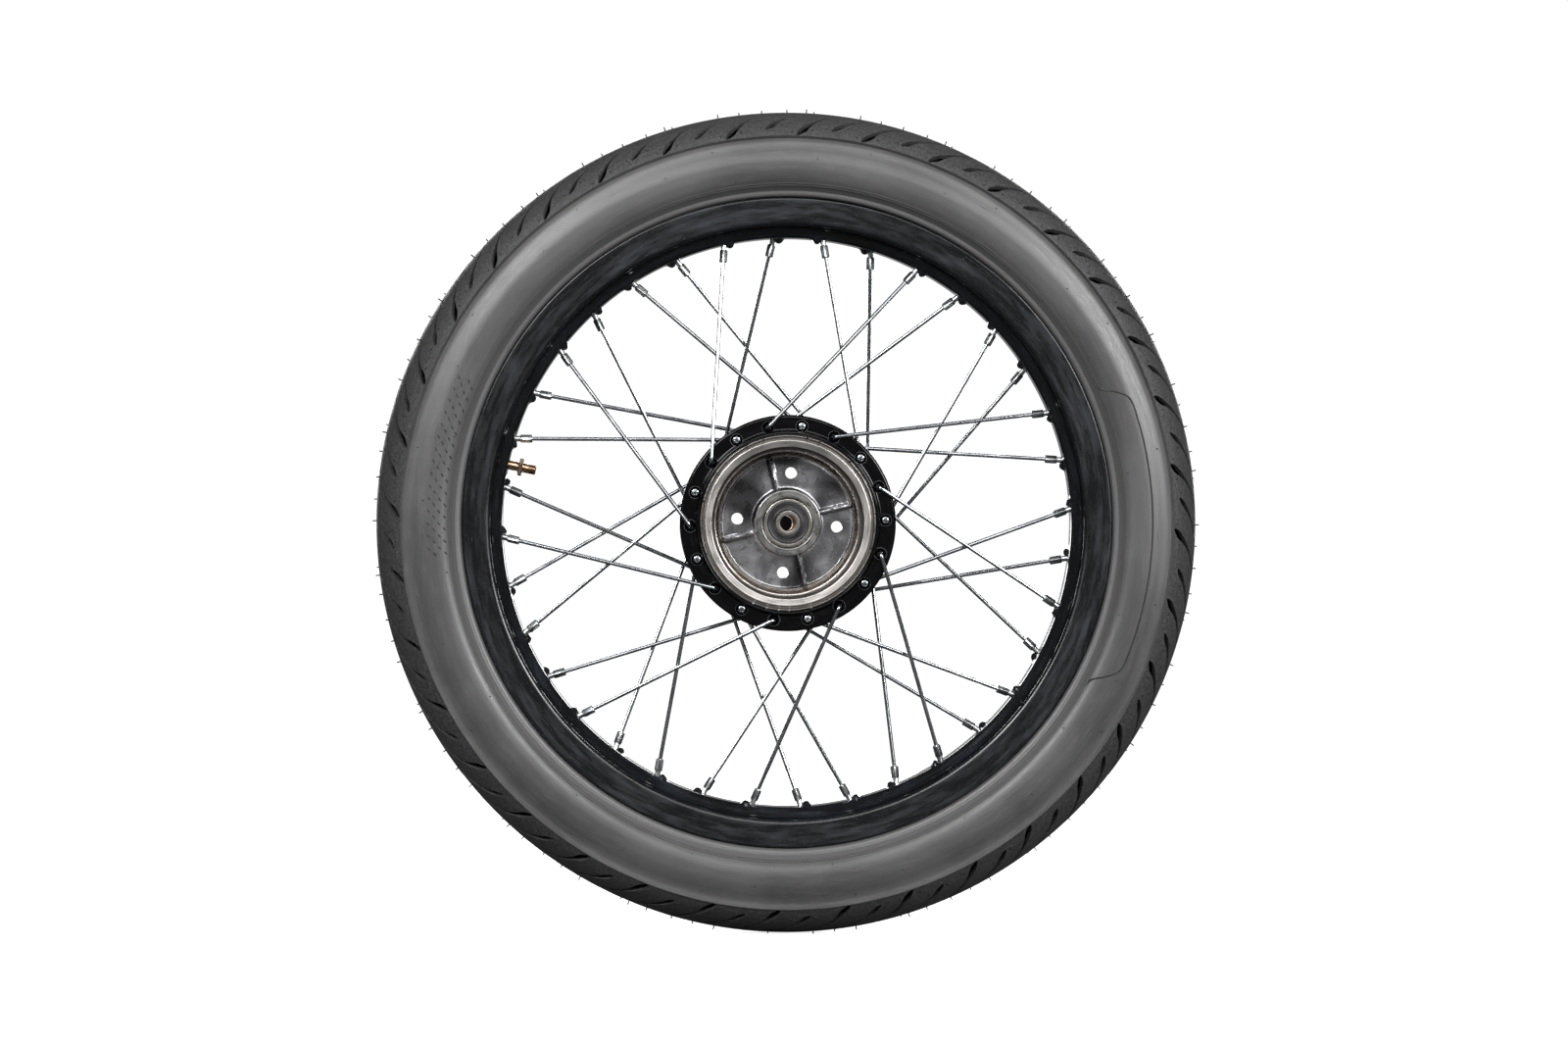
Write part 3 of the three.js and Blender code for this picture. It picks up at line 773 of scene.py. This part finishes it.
def on_crown(name, angle, y, thickness, height):
    lean = math.asin(abs(y) / CROWN)
    out = at(math.cos(lean), angle, math.copysign(math.sin(lean), y))
    return bump_out(name, crown_radius(y), angle, y, out, thickness, height)


def on_wall(name, radius, angle, side, thickness, height):
    return bump_out(name, radius, angle, side * wall_y(radius), Vector((0, side, 0)), thickness, height)


hairs = []
for turn, y in ((0.0, 2), (2.7, -5), (3.8, 7), (10.3, -3), (13.3, 4), (6.1, 12), (16.4, -13)):
    hairs.append(on_crown("hair", turn, y, 0.5, 3.0))
for side, shift in SIDES:
    for starts, places in ((LONG_STARTS, ((2.2, 34.5), (-0.8, 35.5))),
                           (SHORT_STARTS, ((-0.7, 32.5), (2.4, 30.5)))):
        for start in starts:
            for on, y in places:
                hairs.append(on_crown("pin", start + shift + on, side * y, 0.55, 0.8))
crown_marks = ring_copies(joined("tyre_vent_hairs", hairs), PITCHES)

pins = [on_wall("pin", radius, angle, side, 0.6, 0.7)
        for side in (-1, 1) for radius, angle in ((271.5, 4.0), (256.0, 15.0), (281.0, 12.0))]
wall_pins = ring_copies(joined("tyre_wall_pins", pins), 16, jitter=1.4, seed=4)


def raised_line(name, path, width, height, side):
    """A low ridge laid along the sidewall through (degrees, radius) points."""
    made = []
    points = [at(r, a, side * wall_y(r)) for a, r in path]
    out = Vector((0, side, 0))
    for i, point in enumerate(points):
        way = points[min(i + 1, len(points) - 1)] - points[max(i - 1, 0)]
        across = way.cross(out).normalized() * width / 2
        made += [point - across * 1.5 - out * 0.8, point + across * 1.5 - out * 0.8,
                 point + across * 0.6 + out * height, point - across * 0.6 + out * height]
    return object_from(name, made, ring_faces(len(points), 4))


PANEL = smooth_line([  # degrees, distance from the axle
    (66.0, 253), (67.0, 255), (68.6, 266), (70.2, 271.4), (74, 272), (84, 272), (92, 272), (101, 272),
    (109, 272), (113.4, 271.4), (115.2, 266), (117.2, 255), (118.4, 253)], 8)
marks = [raised_line("panel", PANEL, 1.0, 0.8, -1)]
for row in range(4):
    for place in range(15):
        start = 264.8 + place * 2.0 + (row % 2) * 0.9
        r = 254.6 + row * 3.9
        marks.append(raised_line("dash", [(start, r), (start + 0.45, r + 1.6)], 0.9, 0.4, -1))
wall_marks = joined("tyre_wall_marks", marks)
corners = ((276.0, 31.2), (276.0, 32.6), (279.2, 31.9))      # of a wear triangle: distance, degrees
triangle = object_from(
    "triangle",
    [at(r, a, -wall_y(r) - 0.35) for r, a in corners] + [at(r, a, -37) for r, a in corners],
    [(0, 1, 2), (3, 4, 5), (0, 1, 4, 3), (1, 2, 5, 4), (2, 0, 3, 5)])
wear_marks = ring_copies(triangle, 6)
wear_marks.name = "tyre_wear_triangles"
for piece in (tyre, wear_marks):
    coated(piece, TYRE_RUBBER)
# The hairs, pins, panel outline and dashes take the darker rubber, a painted shade.
for piece in (crown_marks, wall_pins, wall_marks):
    coated(piece, SHADED_MARK_RUBBER)
print("vent hairs:", len(crown_marks.data.polygons), "faces")

# %% [markdown]
# ## The rim
# A steel rim is rolled from strip: a well in the middle, a seat for each bead, and flanges that
# end in a rolled lip. Round every nipple hole the well is punched up into a small mound, set a
# little aside so that the hole faces down its spoke. The mounds are moved points of the swept
# section; the holes are cut along the spokes' own lines.

# %% Spoke lines and the rim
def spoke_line(side, first, lead, outside):
    """A spoke's elbow corner and its seat in the rim."""
    elbow = side * (FLANGE_MID + 5.9 if outside else FLANGE_MID - 4.9)
    return at(SPOKE_CIRCLE, first, elbow), at(WELL_R, first + lead, side * NIPPLE_ROW)


MOUND = 3.5             # how high a mound stands
MOUND_LONG = 4.1        # its half length round the rim
MOUND_WIDE = 4.4
MOUND_ASIDE = 4.4       # how far it stands beside its hole


def with_mounds(radius, along, turn):
    """The well's points, lifted towards the axle in a small dome beside each nipple hole."""
    lift = np.zeros_like(radius)
    for side, first, lead, _ in FAMILIES.values():
        step = 360 / COPIES
        away = (np.degrees(turn) - first - lead + step / 2) % step - step / 2
        length = (np.radians(away) * WELL_R * math.copysign(1, lead) - MOUND_ASIDE) / MOUND_LONG
        width = (along - side * NIPPLE_ROW) / MOUND_WIDE
        reach = np.clip(1 - length ** 2 - width ** 2, 0, 1)
        lift = np.maximum(lift, MOUND * reach ** 0.8)
    in_well = np.clip((219.5 - radius) / 2.5, 0, 1)
    return radius - lift * in_well, along


rim_section = filleted([
    (214.2, -9.3, 2.2), (214.2, 9.3, 2.2), (221.2, 14.5, 1.5), (222.4, 24.0, 1.2), (224.4, 25.9, 1.6),
    (242.8, 27.2, 1.3), (242.9, 24.5, 1.2), (228.6, 23.5, 1.5), (227.6, 12.6, 1.5), (216.5, 8.8, 2.0),
    (216.5, -8.8, 2.0), (227.6, -12.6, 1.5), (228.6, -23.5, 1.5), (242.9, -24.5, 1.2),
    (242.8, -27.2, 1.3), (224.4, -25.9, 1.6), (222.4, -24.0, 1.2), (221.2, -14.5, 1.5),
], 4)
rim = turned("rim_enamelled", divided(rim_section, 2.4), 720, with_mounds)
for side, first, lead, outside in FAMILIES.values():
    elbow, seat = spoke_line(side, first, lead, outside)
    way = (seat - elbow).normalized()
    hole = swept("nipple_hole", [seat - way * 8, seat + way * 12], [2.55, 2.55], 20)
    cut(rim, ring_copies(hole, COPIES))
valve_way = at(1, VALVE_ANGLE, 0)
cut(rim, swept("valve_hole", [valve_way * 205, valve_way * 225], [4.6, 4.6], 32))
even_shading(rim)
coated(rim, RIM_ENAMEL)
print("rim:", len(rim.data.polygons), "faces")

# %% [markdown]
# ## Spokes and nipples
# A spoke is a drawn wire with a cold-formed head and an elbow. Nine of each of four kinds lace
# the wheel: they leave the outside or the inside of a flange, and lean one way or the other.
# One spoke of a kind is swept along its own line and the ring tree copies it. The nipple is a
# square bar with a round neck, threaded onto the wire through the rim.

# %% Spokes
HEAD_R = 2.9
HEAD_LONG = 1.8
ELBOW_BEND = 3.4
NIPPLE_ACROSS = 5.0
NIPPLE_LONG = 9.4
NIPPLE_OFF = 4.0        # from the seat to the square part


def spoke_wire(name, side, first, lead, outside):
    elbow, seat = spoke_line(side, first, lead, outside)
    face = FLANGE_MID - FLANGE_HALF - 0.3 if outside else FLANGE_MID + FLANGE_HALF + 0.3
    inwards = Vector((0, side, 0)) * (1 if outside else -1)      # from the head to the elbow
    under_head = at(SPOKE_CIRCLE, first, side * face)
    top = under_head - inwards * HEAD_LONG
    path = [top, top + inwards * 0.25, top + inwards * 0.7, top + inwards * 1.45,
            under_head + inwards * 0.1, under_head + inwards * 1.2]
    radii = [HEAD_R * 0.55, HEAD_R * 0.86, HEAD_R, HEAD_R, SPOKE_R * 1.25, SPOKE_R]
    way = (seat - elbow).normalized()
    start, end = elbow - inwards * ELBOW_BEND, elbow + way * ELBOW_BEND
    for t in np.linspace(0, 1, 9):
        path.append(start * (1 - t) ** 2 + elbow * 2 * t * (1 - t) + end * t * t)
        radii.append(SPOKE_R)
    for t in np.linspace(0, 1, 7)[1:]:
        path.append(end.lerp(seat - way * 6, t))
        radii.append(SPOKE_R)
    made = swept(name, path, radii, 14, sharp=50)
    dents = []
    for k in range(4):
        turn = 0.6 + k * math.pi / 2
        spot = top + Vector((math.sin(turn), 0, math.cos(turn))) * 1.45
        dents.append(swept("dent", [spot - inwards * 0.8, spot + inwards * 0.8], [0.85, 0.4], 8))
    cut(made, joined("dents", dents), 50)
    return made


def square_section(angle, radius):
    """A square bar with its corners taken off."""
    flat = radius * 0.5 / max(abs(math.cos(angle)), abs(math.sin(angle)))
    return min(flat, radius * 0.605)


def nipple(name, side, first, lead, outside):
    elbow, seat = spoke_line(side, first, lead, outside)
    way = (seat - elbow).normalized()
    low = seat - way * (NIPPLE_OFF + NIPPLE_LONG)
    bar = [low + way * s for s in (0, 0.15, 0.7, NIPPLE_LONG - 0.7, NIPPLE_LONG)]
    wide = [NIPPLE_ACROSS * w for w in (0.72, 0.86, 1.0, 1.0, 0.86)]
    square = swept("bar", bar, wide, 24, square_section)
    neck_path = [low + way * (NIPPLE_LONG - 1)] + [seat + way * s for s in (3.4, 5.6, 6.6, 7.0)]
    neck = swept("neck", neck_path, [2.2, 2.2, 3.1, 3.0, 1.8], 20)
    return joined(name, [square, neck])


spokes, nipples = {}, {}
for family, row in FAMILIES.items():
    spokes[family] = ring_copies(spoke_wire("spokes_" + family, *row), COPIES, material=ZINC)
    nipples[family] = ring_copies(nipple("nipples_" + family, *row), COPIES, material=NIPPLE_ZINC)
print("spokes in a family:", COPIES, "faces:", len(spokes["front_outer"].data.polygons))

# %% [markdown]
# ## The hub casting
# The hub is one aluminium casting. Its front is a deep dish for the brake, with a web at the
# bottom that carries four ribs, four bolt holes and the bearing boss. Its section is turned,
# and the ribs are raised out of the web's points, so they have the soft edges of a casting.
# Machined faces get the turned finish, picked out by where their polygons lie.

# %% Hub casting
RIBS = 4
RIB_FIRST = -13.5
RIB_ASIDE = -1.8
RIB_HALF = 2.7          # half a rib's width at its foot
RIB_SLOPE = 2.1         # how much of that is its sloping side
RIB_HIGH = 5.0
RIB_END = 51.9


def with_ribs(radius, along, turn):
    """The dish's points, pulled up to the ribs' tops where a rib crosses them."""
    step = 360 / RIBS
    away = np.radians((np.degrees(turn) - RIB_FIRST + step / 2) % step - step / 2)
    across = np.abs(radius * np.sin(away) - RIB_ASIDE)
    share = np.clip((RIB_HALF - across) / RIB_SLOPE, 0, 1)
    share = share * share * (3 - 2 * share)
    share = share * np.clip((RIB_END - radius) / 0.9, 0, 1)
    dish = (radius > 24.4) & (radius < 52.5) & (along < WEB_FRONT + 0.3) & (share > 0)
    return radius, np.where(dish, np.minimum(along, WEB_FRONT - RIB_HIGH * share), along)


hub_section = filleted([
    (15.2, -17.8, 0), (18.8, -17.8, 0), (18.8, -29.2, 0.2), (19.4, -30.4, 0.3), (24.8, -30.4, 0.8),
    (25.1, 0.5, 3.0), (49.3, 0.5, 1.4), (49.9, -1.5, 0.5), (51.6, -1.4, 0.5), (52.4, 0.4, 0.3),
    (53.6, -3.6, 1.0),
    (60.3, -4.3, 0), (60.3, -27.1, 0), (64.3, -27.1, 0), (64.3, -32.0, 0.3), (65.4, -32.0, 0.3),
    (65.9, -31.2, 0.2), (68.3, -30.9, 0.5), (68.3, 30.0, 0.8), (62.0, 30.0, 0.8), (61.0, 8.0, 3.0),
    (47.0, 8.0, 1.0), (47.0, 12.0, 0.7), (29.5, 12.0, 0.7), (29.5, 8.0, 1.0), (25.1, 8.0, 2.0),
    (24.8, 30.4, 0.8), (18.8, 30.4, 0.5), (18.8, 17.8, 0), (15.2, 17.8, 0),
], 4)
floor = (abs(hub_section[:, 1] - WEB_FRONT) < 0.01) & (hub_section[:, 0] < 49.4)
first_floor = int(np.argmax(floor))
floor_line = np.linspace(hub_section[first_floor], hub_section[first_floor + 1], 10)[1:-1]
hub_section = np.vstack([hub_section[:first_floor + 1], floor_line, hub_section[first_floor + 1:]])
hub = turned("hub_casting", hub_section, 600, with_ribs)
BOLT_CIRCLE = 37.75
BOLT_FIRST = 4.7
BOLT_R = 4.35
bolt_hole = swept("bolt_hole", [at(BOLT_CIRCLE, BOLT_FIRST, y) for y in (-8, 14)], [BOLT_R, BOLT_R], 40)
cut(hub, ring_copies(bolt_hole, 4))
TICKS = (12.4, 21, 44.8, 52.9, 67.4, 83.6, 93.9, 106.8, 126.8, 139.7, 164.5, 179, 185.9, 193.8,
         203.2, 221.5, 233.4, 249, 266.3, 284.1, 304.6, 331.6, 342.9)


def tick_cutters():
    return joined("ticks", [
        swept("tick", [at(61.9, a, -31.9), at(65.5, a + 0.4, -32.1)], [1.25, 1.0], 4) for a in TICKS])


cut(hub, tick_cutters())
even_shading(hub)
coated(hub, CAST_ALUMINIUM, TURNED_ALUMINIUM, LIP_METAL, LEDGE_METAL, HUB_PAINT, NOTCH_SHADE)
AS_CAST, TURNED, LIP, DISH_EDGE, PAINTED, SHADED_NOTCH = range(6)


def hub_finish(r, y, faces_along):
    """Which of the hub's materials a face takes, by where it lies."""
    if (r < 24.4 and abs(y) > 29.9) or r < 19.2 or (29 < r < 47.2 and y > 11.5):
        return TURNED
    # The walls of the notches in the lip take painted shade.
    if 63.9 < r < 65.5 and -31.9 < y < -29 and not faces_along:
        return SHADED_NOTCH
    if r > 65.5 and y < -30:
        return PAINTED
    if r > 63.9 and y < -31.4:
        return LIP
    if 49.5 < r < 62 and -5 < y < 0.6:
        return DISH_EDGE
    return AS_CAST


for face in hub.data.polygons:
    r, y = math.hypot(face.center.x, face.center.z) / MM, face.center.y / MM
    face.material_index = hub_finish(r, y, abs(face.normal.y) >= 0.95)
print("hub casting:", len(hub.data.polygons), "faces")

# %% [markdown]
# ## The black barrel
# Outside, the hub is painted black: the barrel between the flanges and the flanges that the
# spokes hook into. The paint is a skin of its own over the casting. Each spoke hole is
# countersunk on both sides, so that a spoke's head or elbow beds in it.

# %% Barrel, flanges and spoke holes
barrel_section = filleted([
    (66.6, -30.0, 0), (66.7, -31.3, 0.4), (67.9, -31.3, 0.5), (68.6, -30.2, 0.4), (69.3, -27.5, 1.2),
    (79.5, -27.5, 0.5), (80.9, -26.1, 0.5),
    (80.9, -23.9, 0.5), (79.5, -22.5, 0.5), (69.2, -22.5, 2.2), (68.9, 22.5, 2.2), (79.5, 22.5, 0.5),
    (80.9, 23.9, 0.5), (80.9, 26.1, 0.5), (79.5, 27.5, 0.5), (69.0, 27.5, 1.2), (68.8, 29.7, 0.5),
    (66.6, 29.6, 0),
], 4)
barrel = turned("hub_barrel_paint", barrel_section, 432)


def countersink(side, first):
    """A solid of the hole and its two cones."""
    low, high = FLANGE_MID - FLANGE_HALF, FLANGE_MID + FLANGE_HALF
    stations = [(low - 0.6, 5.2), (low + 2.0, 2.5), (high - 2.0, 2.5), (high + 0.6, 5.2)]
    return swept("hole", [at(SPOKE_CIRCLE, first, side * y) for y, _ in stations],
                 [r for _, r in stations], 28)


def hoop(name, centre, radius, half):
    """A thin ring whose axis runs along the axle."""
    turns, section = 28, ((-half, -half), (half, -half), (half, half), (-half, half))
    points = [centre + Vector(((radius + r) * math.sin(2 * math.pi * k / turns), y,
                               (radius + r) * math.cos(2 * math.pi * k / turns)))
              for k in range(turns) for r, y in section]
    return object_from(name, points, ring_faces(turns, len(section), closed=True))


edges = []
for side, first, _, _ in FAMILIES.values():
    cut(barrel, ring_copies(countersink(side, first), COPIES))
    for face in (-1, 1):
        centre = at(SPOKE_CIRCLE, first, side * FLANGE_MID + face * FLANGE_HALF)
        # A pale hoop round the mouth of each hole: a painted highlight where the paint's edge catches the
        # light.
        edges.append(ring_copies(hoop("edge", centre, 4.55, 0.17), COPIES))
even_shading(barrel)
coated(barrel, HUB_PAINT)
hole_edges = coated(joined("hub_hole_edges", edges), HOLE_EDGE_HIGHLIGHT)
print("barrel:", len(barrel.data.polygons), "faces, hole edges:", len(hole_edges.data.polygons))

# %% [markdown]
# ## The brake drum's iron
# The brake shoes rub on an iron ring that is cast into the aluminium, with a lip that shows as
# the pale turned face. Its bore is polished and a little brown where the shoes run, and its
# colour is darkened as painted shade, for the shade down in the drum.

# %% Drum liner
liner_section = filleted([
    (55.0, -29.3, 0.4), (56.6, -30.7, 0.3), (57.1, -31.1, 0.2), (61.7, -31.7, 0.3), (62.3, -31.2, 0.2),
    (63.9, -31.2, 0.25), (63.9, -27.4, 0), (60.0, -27.4, 0), (60.0, -4.6, 0), (55.0, -4.6, 0.3),
], 3)
liner = turned("brake_drum_iron", divided(liner_section, 8), 360)
cut(liner, tick_cutters())
even_shading(liner)
coated(liner, DRUM_IRON, SHADED_DRUM_BORE, IRON_SKIN, NOTCH_SHADE)
for face in liner.data.polygons:
    r = math.hypot(face.center.x, face.center.z) / MM
    # The bore and its chamfer, nearer the axle than 56.9 mm, take the darker iron: painted shade with a
    # brown stain.
    face.material_index = 1 if r < 56.9 else 2 if r > 62.0 else 0
    # Faces inside a notch take the painted shade.
    if r > 61 and -31.15 < face.center.y / MM < -29 and abs(face.normal.y) < 0.95:
        face.material_index = 3      # inside a tick
print("liner:", len(liner.data.polygons), "faces")

# %% [markdown]
# ## Bearings and the spacer
# A sealed ball bearing is pressed into each end of the boss. From outside it shows four rings:
# the ground outer ring, the black rubber seal with a moulded step, the inner ring, and inside
# that the tube that keeps the two inner rings apart. The balls and their cages are the packed
# model's own solids, and the cages are given a steel finish.

# %% Bearing rings and seals
def at_face(section, side):
    """A section given by its depth in from a bearing's outer face, put at one end of the hub."""
    return [(r, side * (BEARING_FACE - depth), fillet) for r, depth, fillet in section]


bearing_parts = []
for side, end in ((-1, "front"), (1, "back")):
    outer = turned("bearing_outer_" + end, filleted(at_face([
        (15.6, 0, 0.25), (17.8, 0, 0.3), (18.5, 1.2, 0.3), (18.5, 12, 0.6), (15.6, 12, 0.25),
        (15.6, 8.5, 0), (16.1, 6, 0), (15.6, 3.5, 0),
    ], side), 3), 180)
    inner = turned("bearing_inner_" + end, filleted(at_face([
        (6.0, 0, 0.5), (9.1, 0, 0.25), (9.1, 3.5, 0), (8.7, 6, 0), (9.1, 8.5, 0), (9.1, 12, 0.25),
        (6.0, 12, 0.5),
    ], side), 3), 144)
    coated(outer, BEARING_STEEL)
    coated(inner, BEARING_STEEL)
    seals = []
    for shown, depth, way in (("outer", 0.4, 1), ("inner", 11.6, -1)):
        seal = turned("bearing_seal_%s_%s" % (shown, end), filleted(at_face([
            (9.45, depth, 0.2), (10.9, depth, 0.25),
            (11.2, depth + 0.3 * way, 0.2), (13.9, depth + 0.3 * way, 0.2),
            (14.2, depth + 0.05 * way, 0.2), (15.3, depth + 0.05 * way, 0.2),
            (15.3, depth + 0.9 * way, 0), (9.45, depth + 0.9 * way, 0),
        ], side), 3), 144)
        seals.append(coated(seal, SEAL_RUBBER))
    bearing_parts.append((end, outer, inner, seals))
spacer = turned("spacer_tube_coppered", filleted([
    (6.2, -17.7, 0.3), (8.5, -17.7, 0.3), (8.5, 17.7, 0.3), (6.2, 17.7, 0.3)], 2), 96)
TUBE_DROP = (-1.7, 0, -0.6)      # with no axle in it the tube lies a little off centre
for vertex in spacer.data.vertices:
    vertex.co += Vector(TUBE_DROP) * MM
coated(spacer, COPPER_TUBE)
print("bearing pieces:", 2 + 2 * sum(len(s) for *_, s in bearing_parts))

# %% [markdown]
# ## The tyre valve
# The valve is a threaded brass stem through the rim, held by a hexagon nut, with the core
# screwed down inside its open tip. Its thread is a true helix of 32 turns an inch: the stem's
# radius rises and falls as a point goes along and round it.

# %% Valve stem, nut and core
THREAD_PITCH = 25.4 / 32
THREAD_DEPTH = 0.42
STEM_R = 3.85
STEM_SIDES = 30


def valve_stem():
    way, side, other = valve_way, Vector((0, 1, 0)), valve_way.cross(Vector((0, 1, 0)))
    stations = [(17.0, 2.4, 0), (0.3, 2.4, 0), (0.0, 2.65, 0), (0.0, 3.15, 0)]
    stations += [(s, STEM_R, min(1.0, s * 1.4, (21.6 - s) * 1.4))
                 for s in np.arange(0.35, 21.4, THREAD_PITCH / 6)]
    stations += [(21.6, STEM_R - 0.3, 0), (30.1, STEM_R - 0.3, 0)]
    points = []
    for s, radius, threaded in stations:
        for k in range(STEM_SIDES):
            turn = 2 * math.pi * k / STEM_SIDES
            groove = 0.5 - 0.5 * math.cos(2 * math.pi * s / THREAD_PITCH - turn)
            reach = radius - THREAD_DEPTH * groove * threaded - 0.35 * max(0, 0.8 - s) * (threaded > 0)
            out = (side * math.cos(turn) + other * math.sin(turn)) * reach
            points.append(way * (VALVE_TIP + s) + out)
    made = object_from("valve_stem_threaded", points, ring_faces(len(stations), STEM_SIDES), 40)
    return coated(made, BRASS)


def valve_nut():
    low = VALVE_TIP + 10.1
    nut = swept("valve_nut_hexagon", [valve_way * (low + s) for s in (0, 0.45, 2.55, 3.0)],
                [6.35, 6.9, 6.9, 6.35], 6)
    bore = swept("bore", [valve_way * (low - 1), valve_way * (low + 5)], [3.6, 3.6], 36)
    return coated(cut(nut, bore), BRASS)


stem = valve_stem()
nut = valve_nut()
core = swept("valve_core_pin", [valve_way * (VALVE_TIP + s) for s in (0.9, 1.0, 3.4, 3.5, 3.9, 4.0, 20.0)],
             [0.45, 0.7, 0.7, 1.6, 2.0, 2.0, 2.0], 20)
coated(core, BRASS)
print("valve stem:", len(stem.data.polygons), "faces")

# %% [markdown]
# ## The studio
# The wheel stands on a plain pale floor in front of nothing but white. Gloss black and bright
# metal show only what they reflect, so the light comes from a few broad panels with a dim room
# between them. One panel stands high on each side and lays a sheen along the sidewall, and
# three narrow strips draw thin lines along the rim's edges. Two panels light the far side.
# The floor and the room look white, but to a reflection they are dim, or bright metal would
# wash out. That is done by kind of ray, and the room is dimmest behind the wheel. A dark card
# stands inside the bore as a painted shadow, where the axle would block the light.


# %% Floor, room and lights
def studio_floor():
    rim_points = [(1500 * math.cos(a), 1500 * math.sin(a), -TYRE_R - 0.4)
                  for a in np.linspace(0, 2 * math.pi, 97)[:-1]]
    made = object_from("studio_floor", rim_points, [tuple(range(96))])
    paper, tree, shader = finish("studio_paper", "f4f4f3", 0.9, IOR=1.4)
    spot = add_node(tree, "ShaderNodeTexCoord").outputs["Object"]
    ray = add_node(tree, "ShaderNodeLightPath").outputs["Is Camera Ray"]
    pale = blended(tree, speckle(tree, spot, 400, 2.0), "f2f2f1", "f6f6f5")
    tree.links.new(blended(tree, ray, "454545", pale), shader.inputs["Base Color"])
    shader.inputs["Emission Color"].default_value = rgb("ffffff")
    tree.links.new(fitted(tree, ray, 0.0, 1.0, 0.0, 0.8), shader.inputs["Emission Strength"])
    coated(made, paper)


def panel_light(name, place, size, power):
    """A rectangular white light that faces the wheel."""
    data = bpy.data.lights.new(name, "AREA")
    data.shape, data.size, data.size_y = "RECTANGLE", *size
    data.energy = power
    made = bpy.data.objects.new(name, data)
    made.location = place
    made.rotation_mode = "QUATERNION"
    made.rotation_quaternion = (-Vector(place)).to_track_quat("-Z", "Y")
    bpy.context.scene.collection.objects.link(made)


def white_room(seen, dim, behind):
    """A room that looks white but lights the wheel dimly, least of all from behind it.
    Straight behind there is a small bright patch, which gives glancing edges a pale line."""
    room = bpy.data.worlds.new("white_room")
    room.use_nodes = True
    tree = room.node_tree
    way = add_node(tree, "ShaderNodeTexCoord").outputs["Generated"]
    away = add_node(tree, "ShaderNodeSeparateXYZ", {0: way}).outputs[1]
    felt = math_node(tree, "ADD", fitted(tree, away, 0.60, 0.96, dim, behind),
                     fitted(tree, away, 0.980, 0.990, 0.0, 0.4))
    ray = add_node(tree, "ShaderNodeLightPath").outputs["Is Camera Ray"]
    strength = add_node(tree, "ShaderNodeMix", {0: ray, 2: felt, 3: seen}).outputs[0]
    tree.links.new(strength, tree.nodes["Background"].inputs["Strength"])
    tree.nodes["Background"].inputs["Color"].default_value = rgb("ffffff")
    bpy.context.scene.world = room


def bore_shadow_card():
    """A dark card across the axle's bore, a painted shadow: without it the bore would show the white
    behind the wheel.
    """
    disc = [at(6.0, a, 9.0) + Vector(TUBE_DROP) for a in range(0, 360, 15)]
    made = object_from("bore_shadow_card", disc, [tuple(range(24))])
    coated(made, SEAL_RUBBER)


studio_floor()
bore_shadow_card()
white_room(1.1, 0.12, 0.008)
LIGHTS = {      # place and size in metres, power in watts
    "right_panel": ((1.78, -2.09, 0.95), (1.1, 1.1), 97),
    "left_panel": ((-1.42, -2.09, 1.42), (1.1, 1.1), 84),
    "front_panel": ((0.1, -3.0, 1.6), (1.6, 1.0), 32),
    "low_panel": ((0.2, -2.2, -1.6), (2.2, 0.9), 22),
    "back_right_panel": ((0.9, 2.8, 0.5), (1.1, 1.1), 42),
    "back_left_panel": ((-0.9, 2.8, 0.5), (1.1, 1.1), 42),
    "left_strip": ((-2.2, -1.4, -1.2), (0.14, 1.6), 7),
    "right_strip": ((1.7, -1.5, -1.9), (0.14, 1.6), 7),
    "top_strip": ((0.2, -1.5, 2.5), (1.8, 0.14), 7),
}
for name, (place, size, power) in LIGHTS.items():
    panel_light(name, place, size, power)
bpy.context.scene.view_settings.view_transform = "Standard"

# %% [markdown]
# ## Handing over
# Each piece rides on the body that its real counterpart turns with: the inner rings and the
# spacer stand still on the axle, and all the rest turns with the wheel.

# %% Bodies and finishes
def numbered(family):
    return ["spoke_%s_%d" % (family, k) for k in range(1, COPIES + 1)]


wheel_pieces = [
    (tyre, ["tyre"], "tyre"), (crown_marks, [], "tyre"), (wall_pins, [], "tyre"),
    (wall_marks, [], "tyre"), (wear_marks, [], "tyre"), (rim, ["rim"], "rim_black"),
    (hub, ["hub_shell"], "hub_aluminium"), (barrel, [], "rim_black"), (hole_edges, [], "rim_black"),
    (liner, ["brake_drum_liner"], "drum_iron"), (stem, ["valve_stem"], "brass"),
    (nut, ["valve_nut"], "brass"), (core, ["valve_core"], "brass"),
]
for family in FAMILIES:
    wheel_pieces.append((spokes[family], numbered(family), "zinc_steel"))
    wheel_pieces.append((nipples[family], [], "zinc_steel"))
still_pieces = [(spacer, ["spacer_tube"], "spacer_steel")]
for end, outer, inner, seals in bearing_parts:
    wheel_pieces.append((outer, ["bearing_outer_ring_" + end], "bearing_steel"))
    still_pieces.append((inner, ["bearing_inner_ring_" + end], "bearing_steel"))
    for seal, shown in zip(seals, ("outer", "inner")):
        wheel_pieces.append((seal, ["bearing_seal_%s_%s" % (shown, end)], "rubber"))
for body, pieces in (("wheel", wheel_pieces), ("spindle", still_pieces)):
    for piece, nodes, slot in pieces:
        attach(piece, body)
        if nodes:
            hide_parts(*nodes)

CARRIED = {
    "inner_tube": TUBE_RUBBER, "rim_tape": TAPE_RUBBER,
    "bearing_cage_front": CAGE_STEEL, "bearing_cage_back": CAGE_STEEL,
}
for node, material in CARRIED.items():
    for slot in bpy.data.objects[node].material_slots:
        slot.material = material


print("pieces riding on the wheel:", len(wheel_pieces))
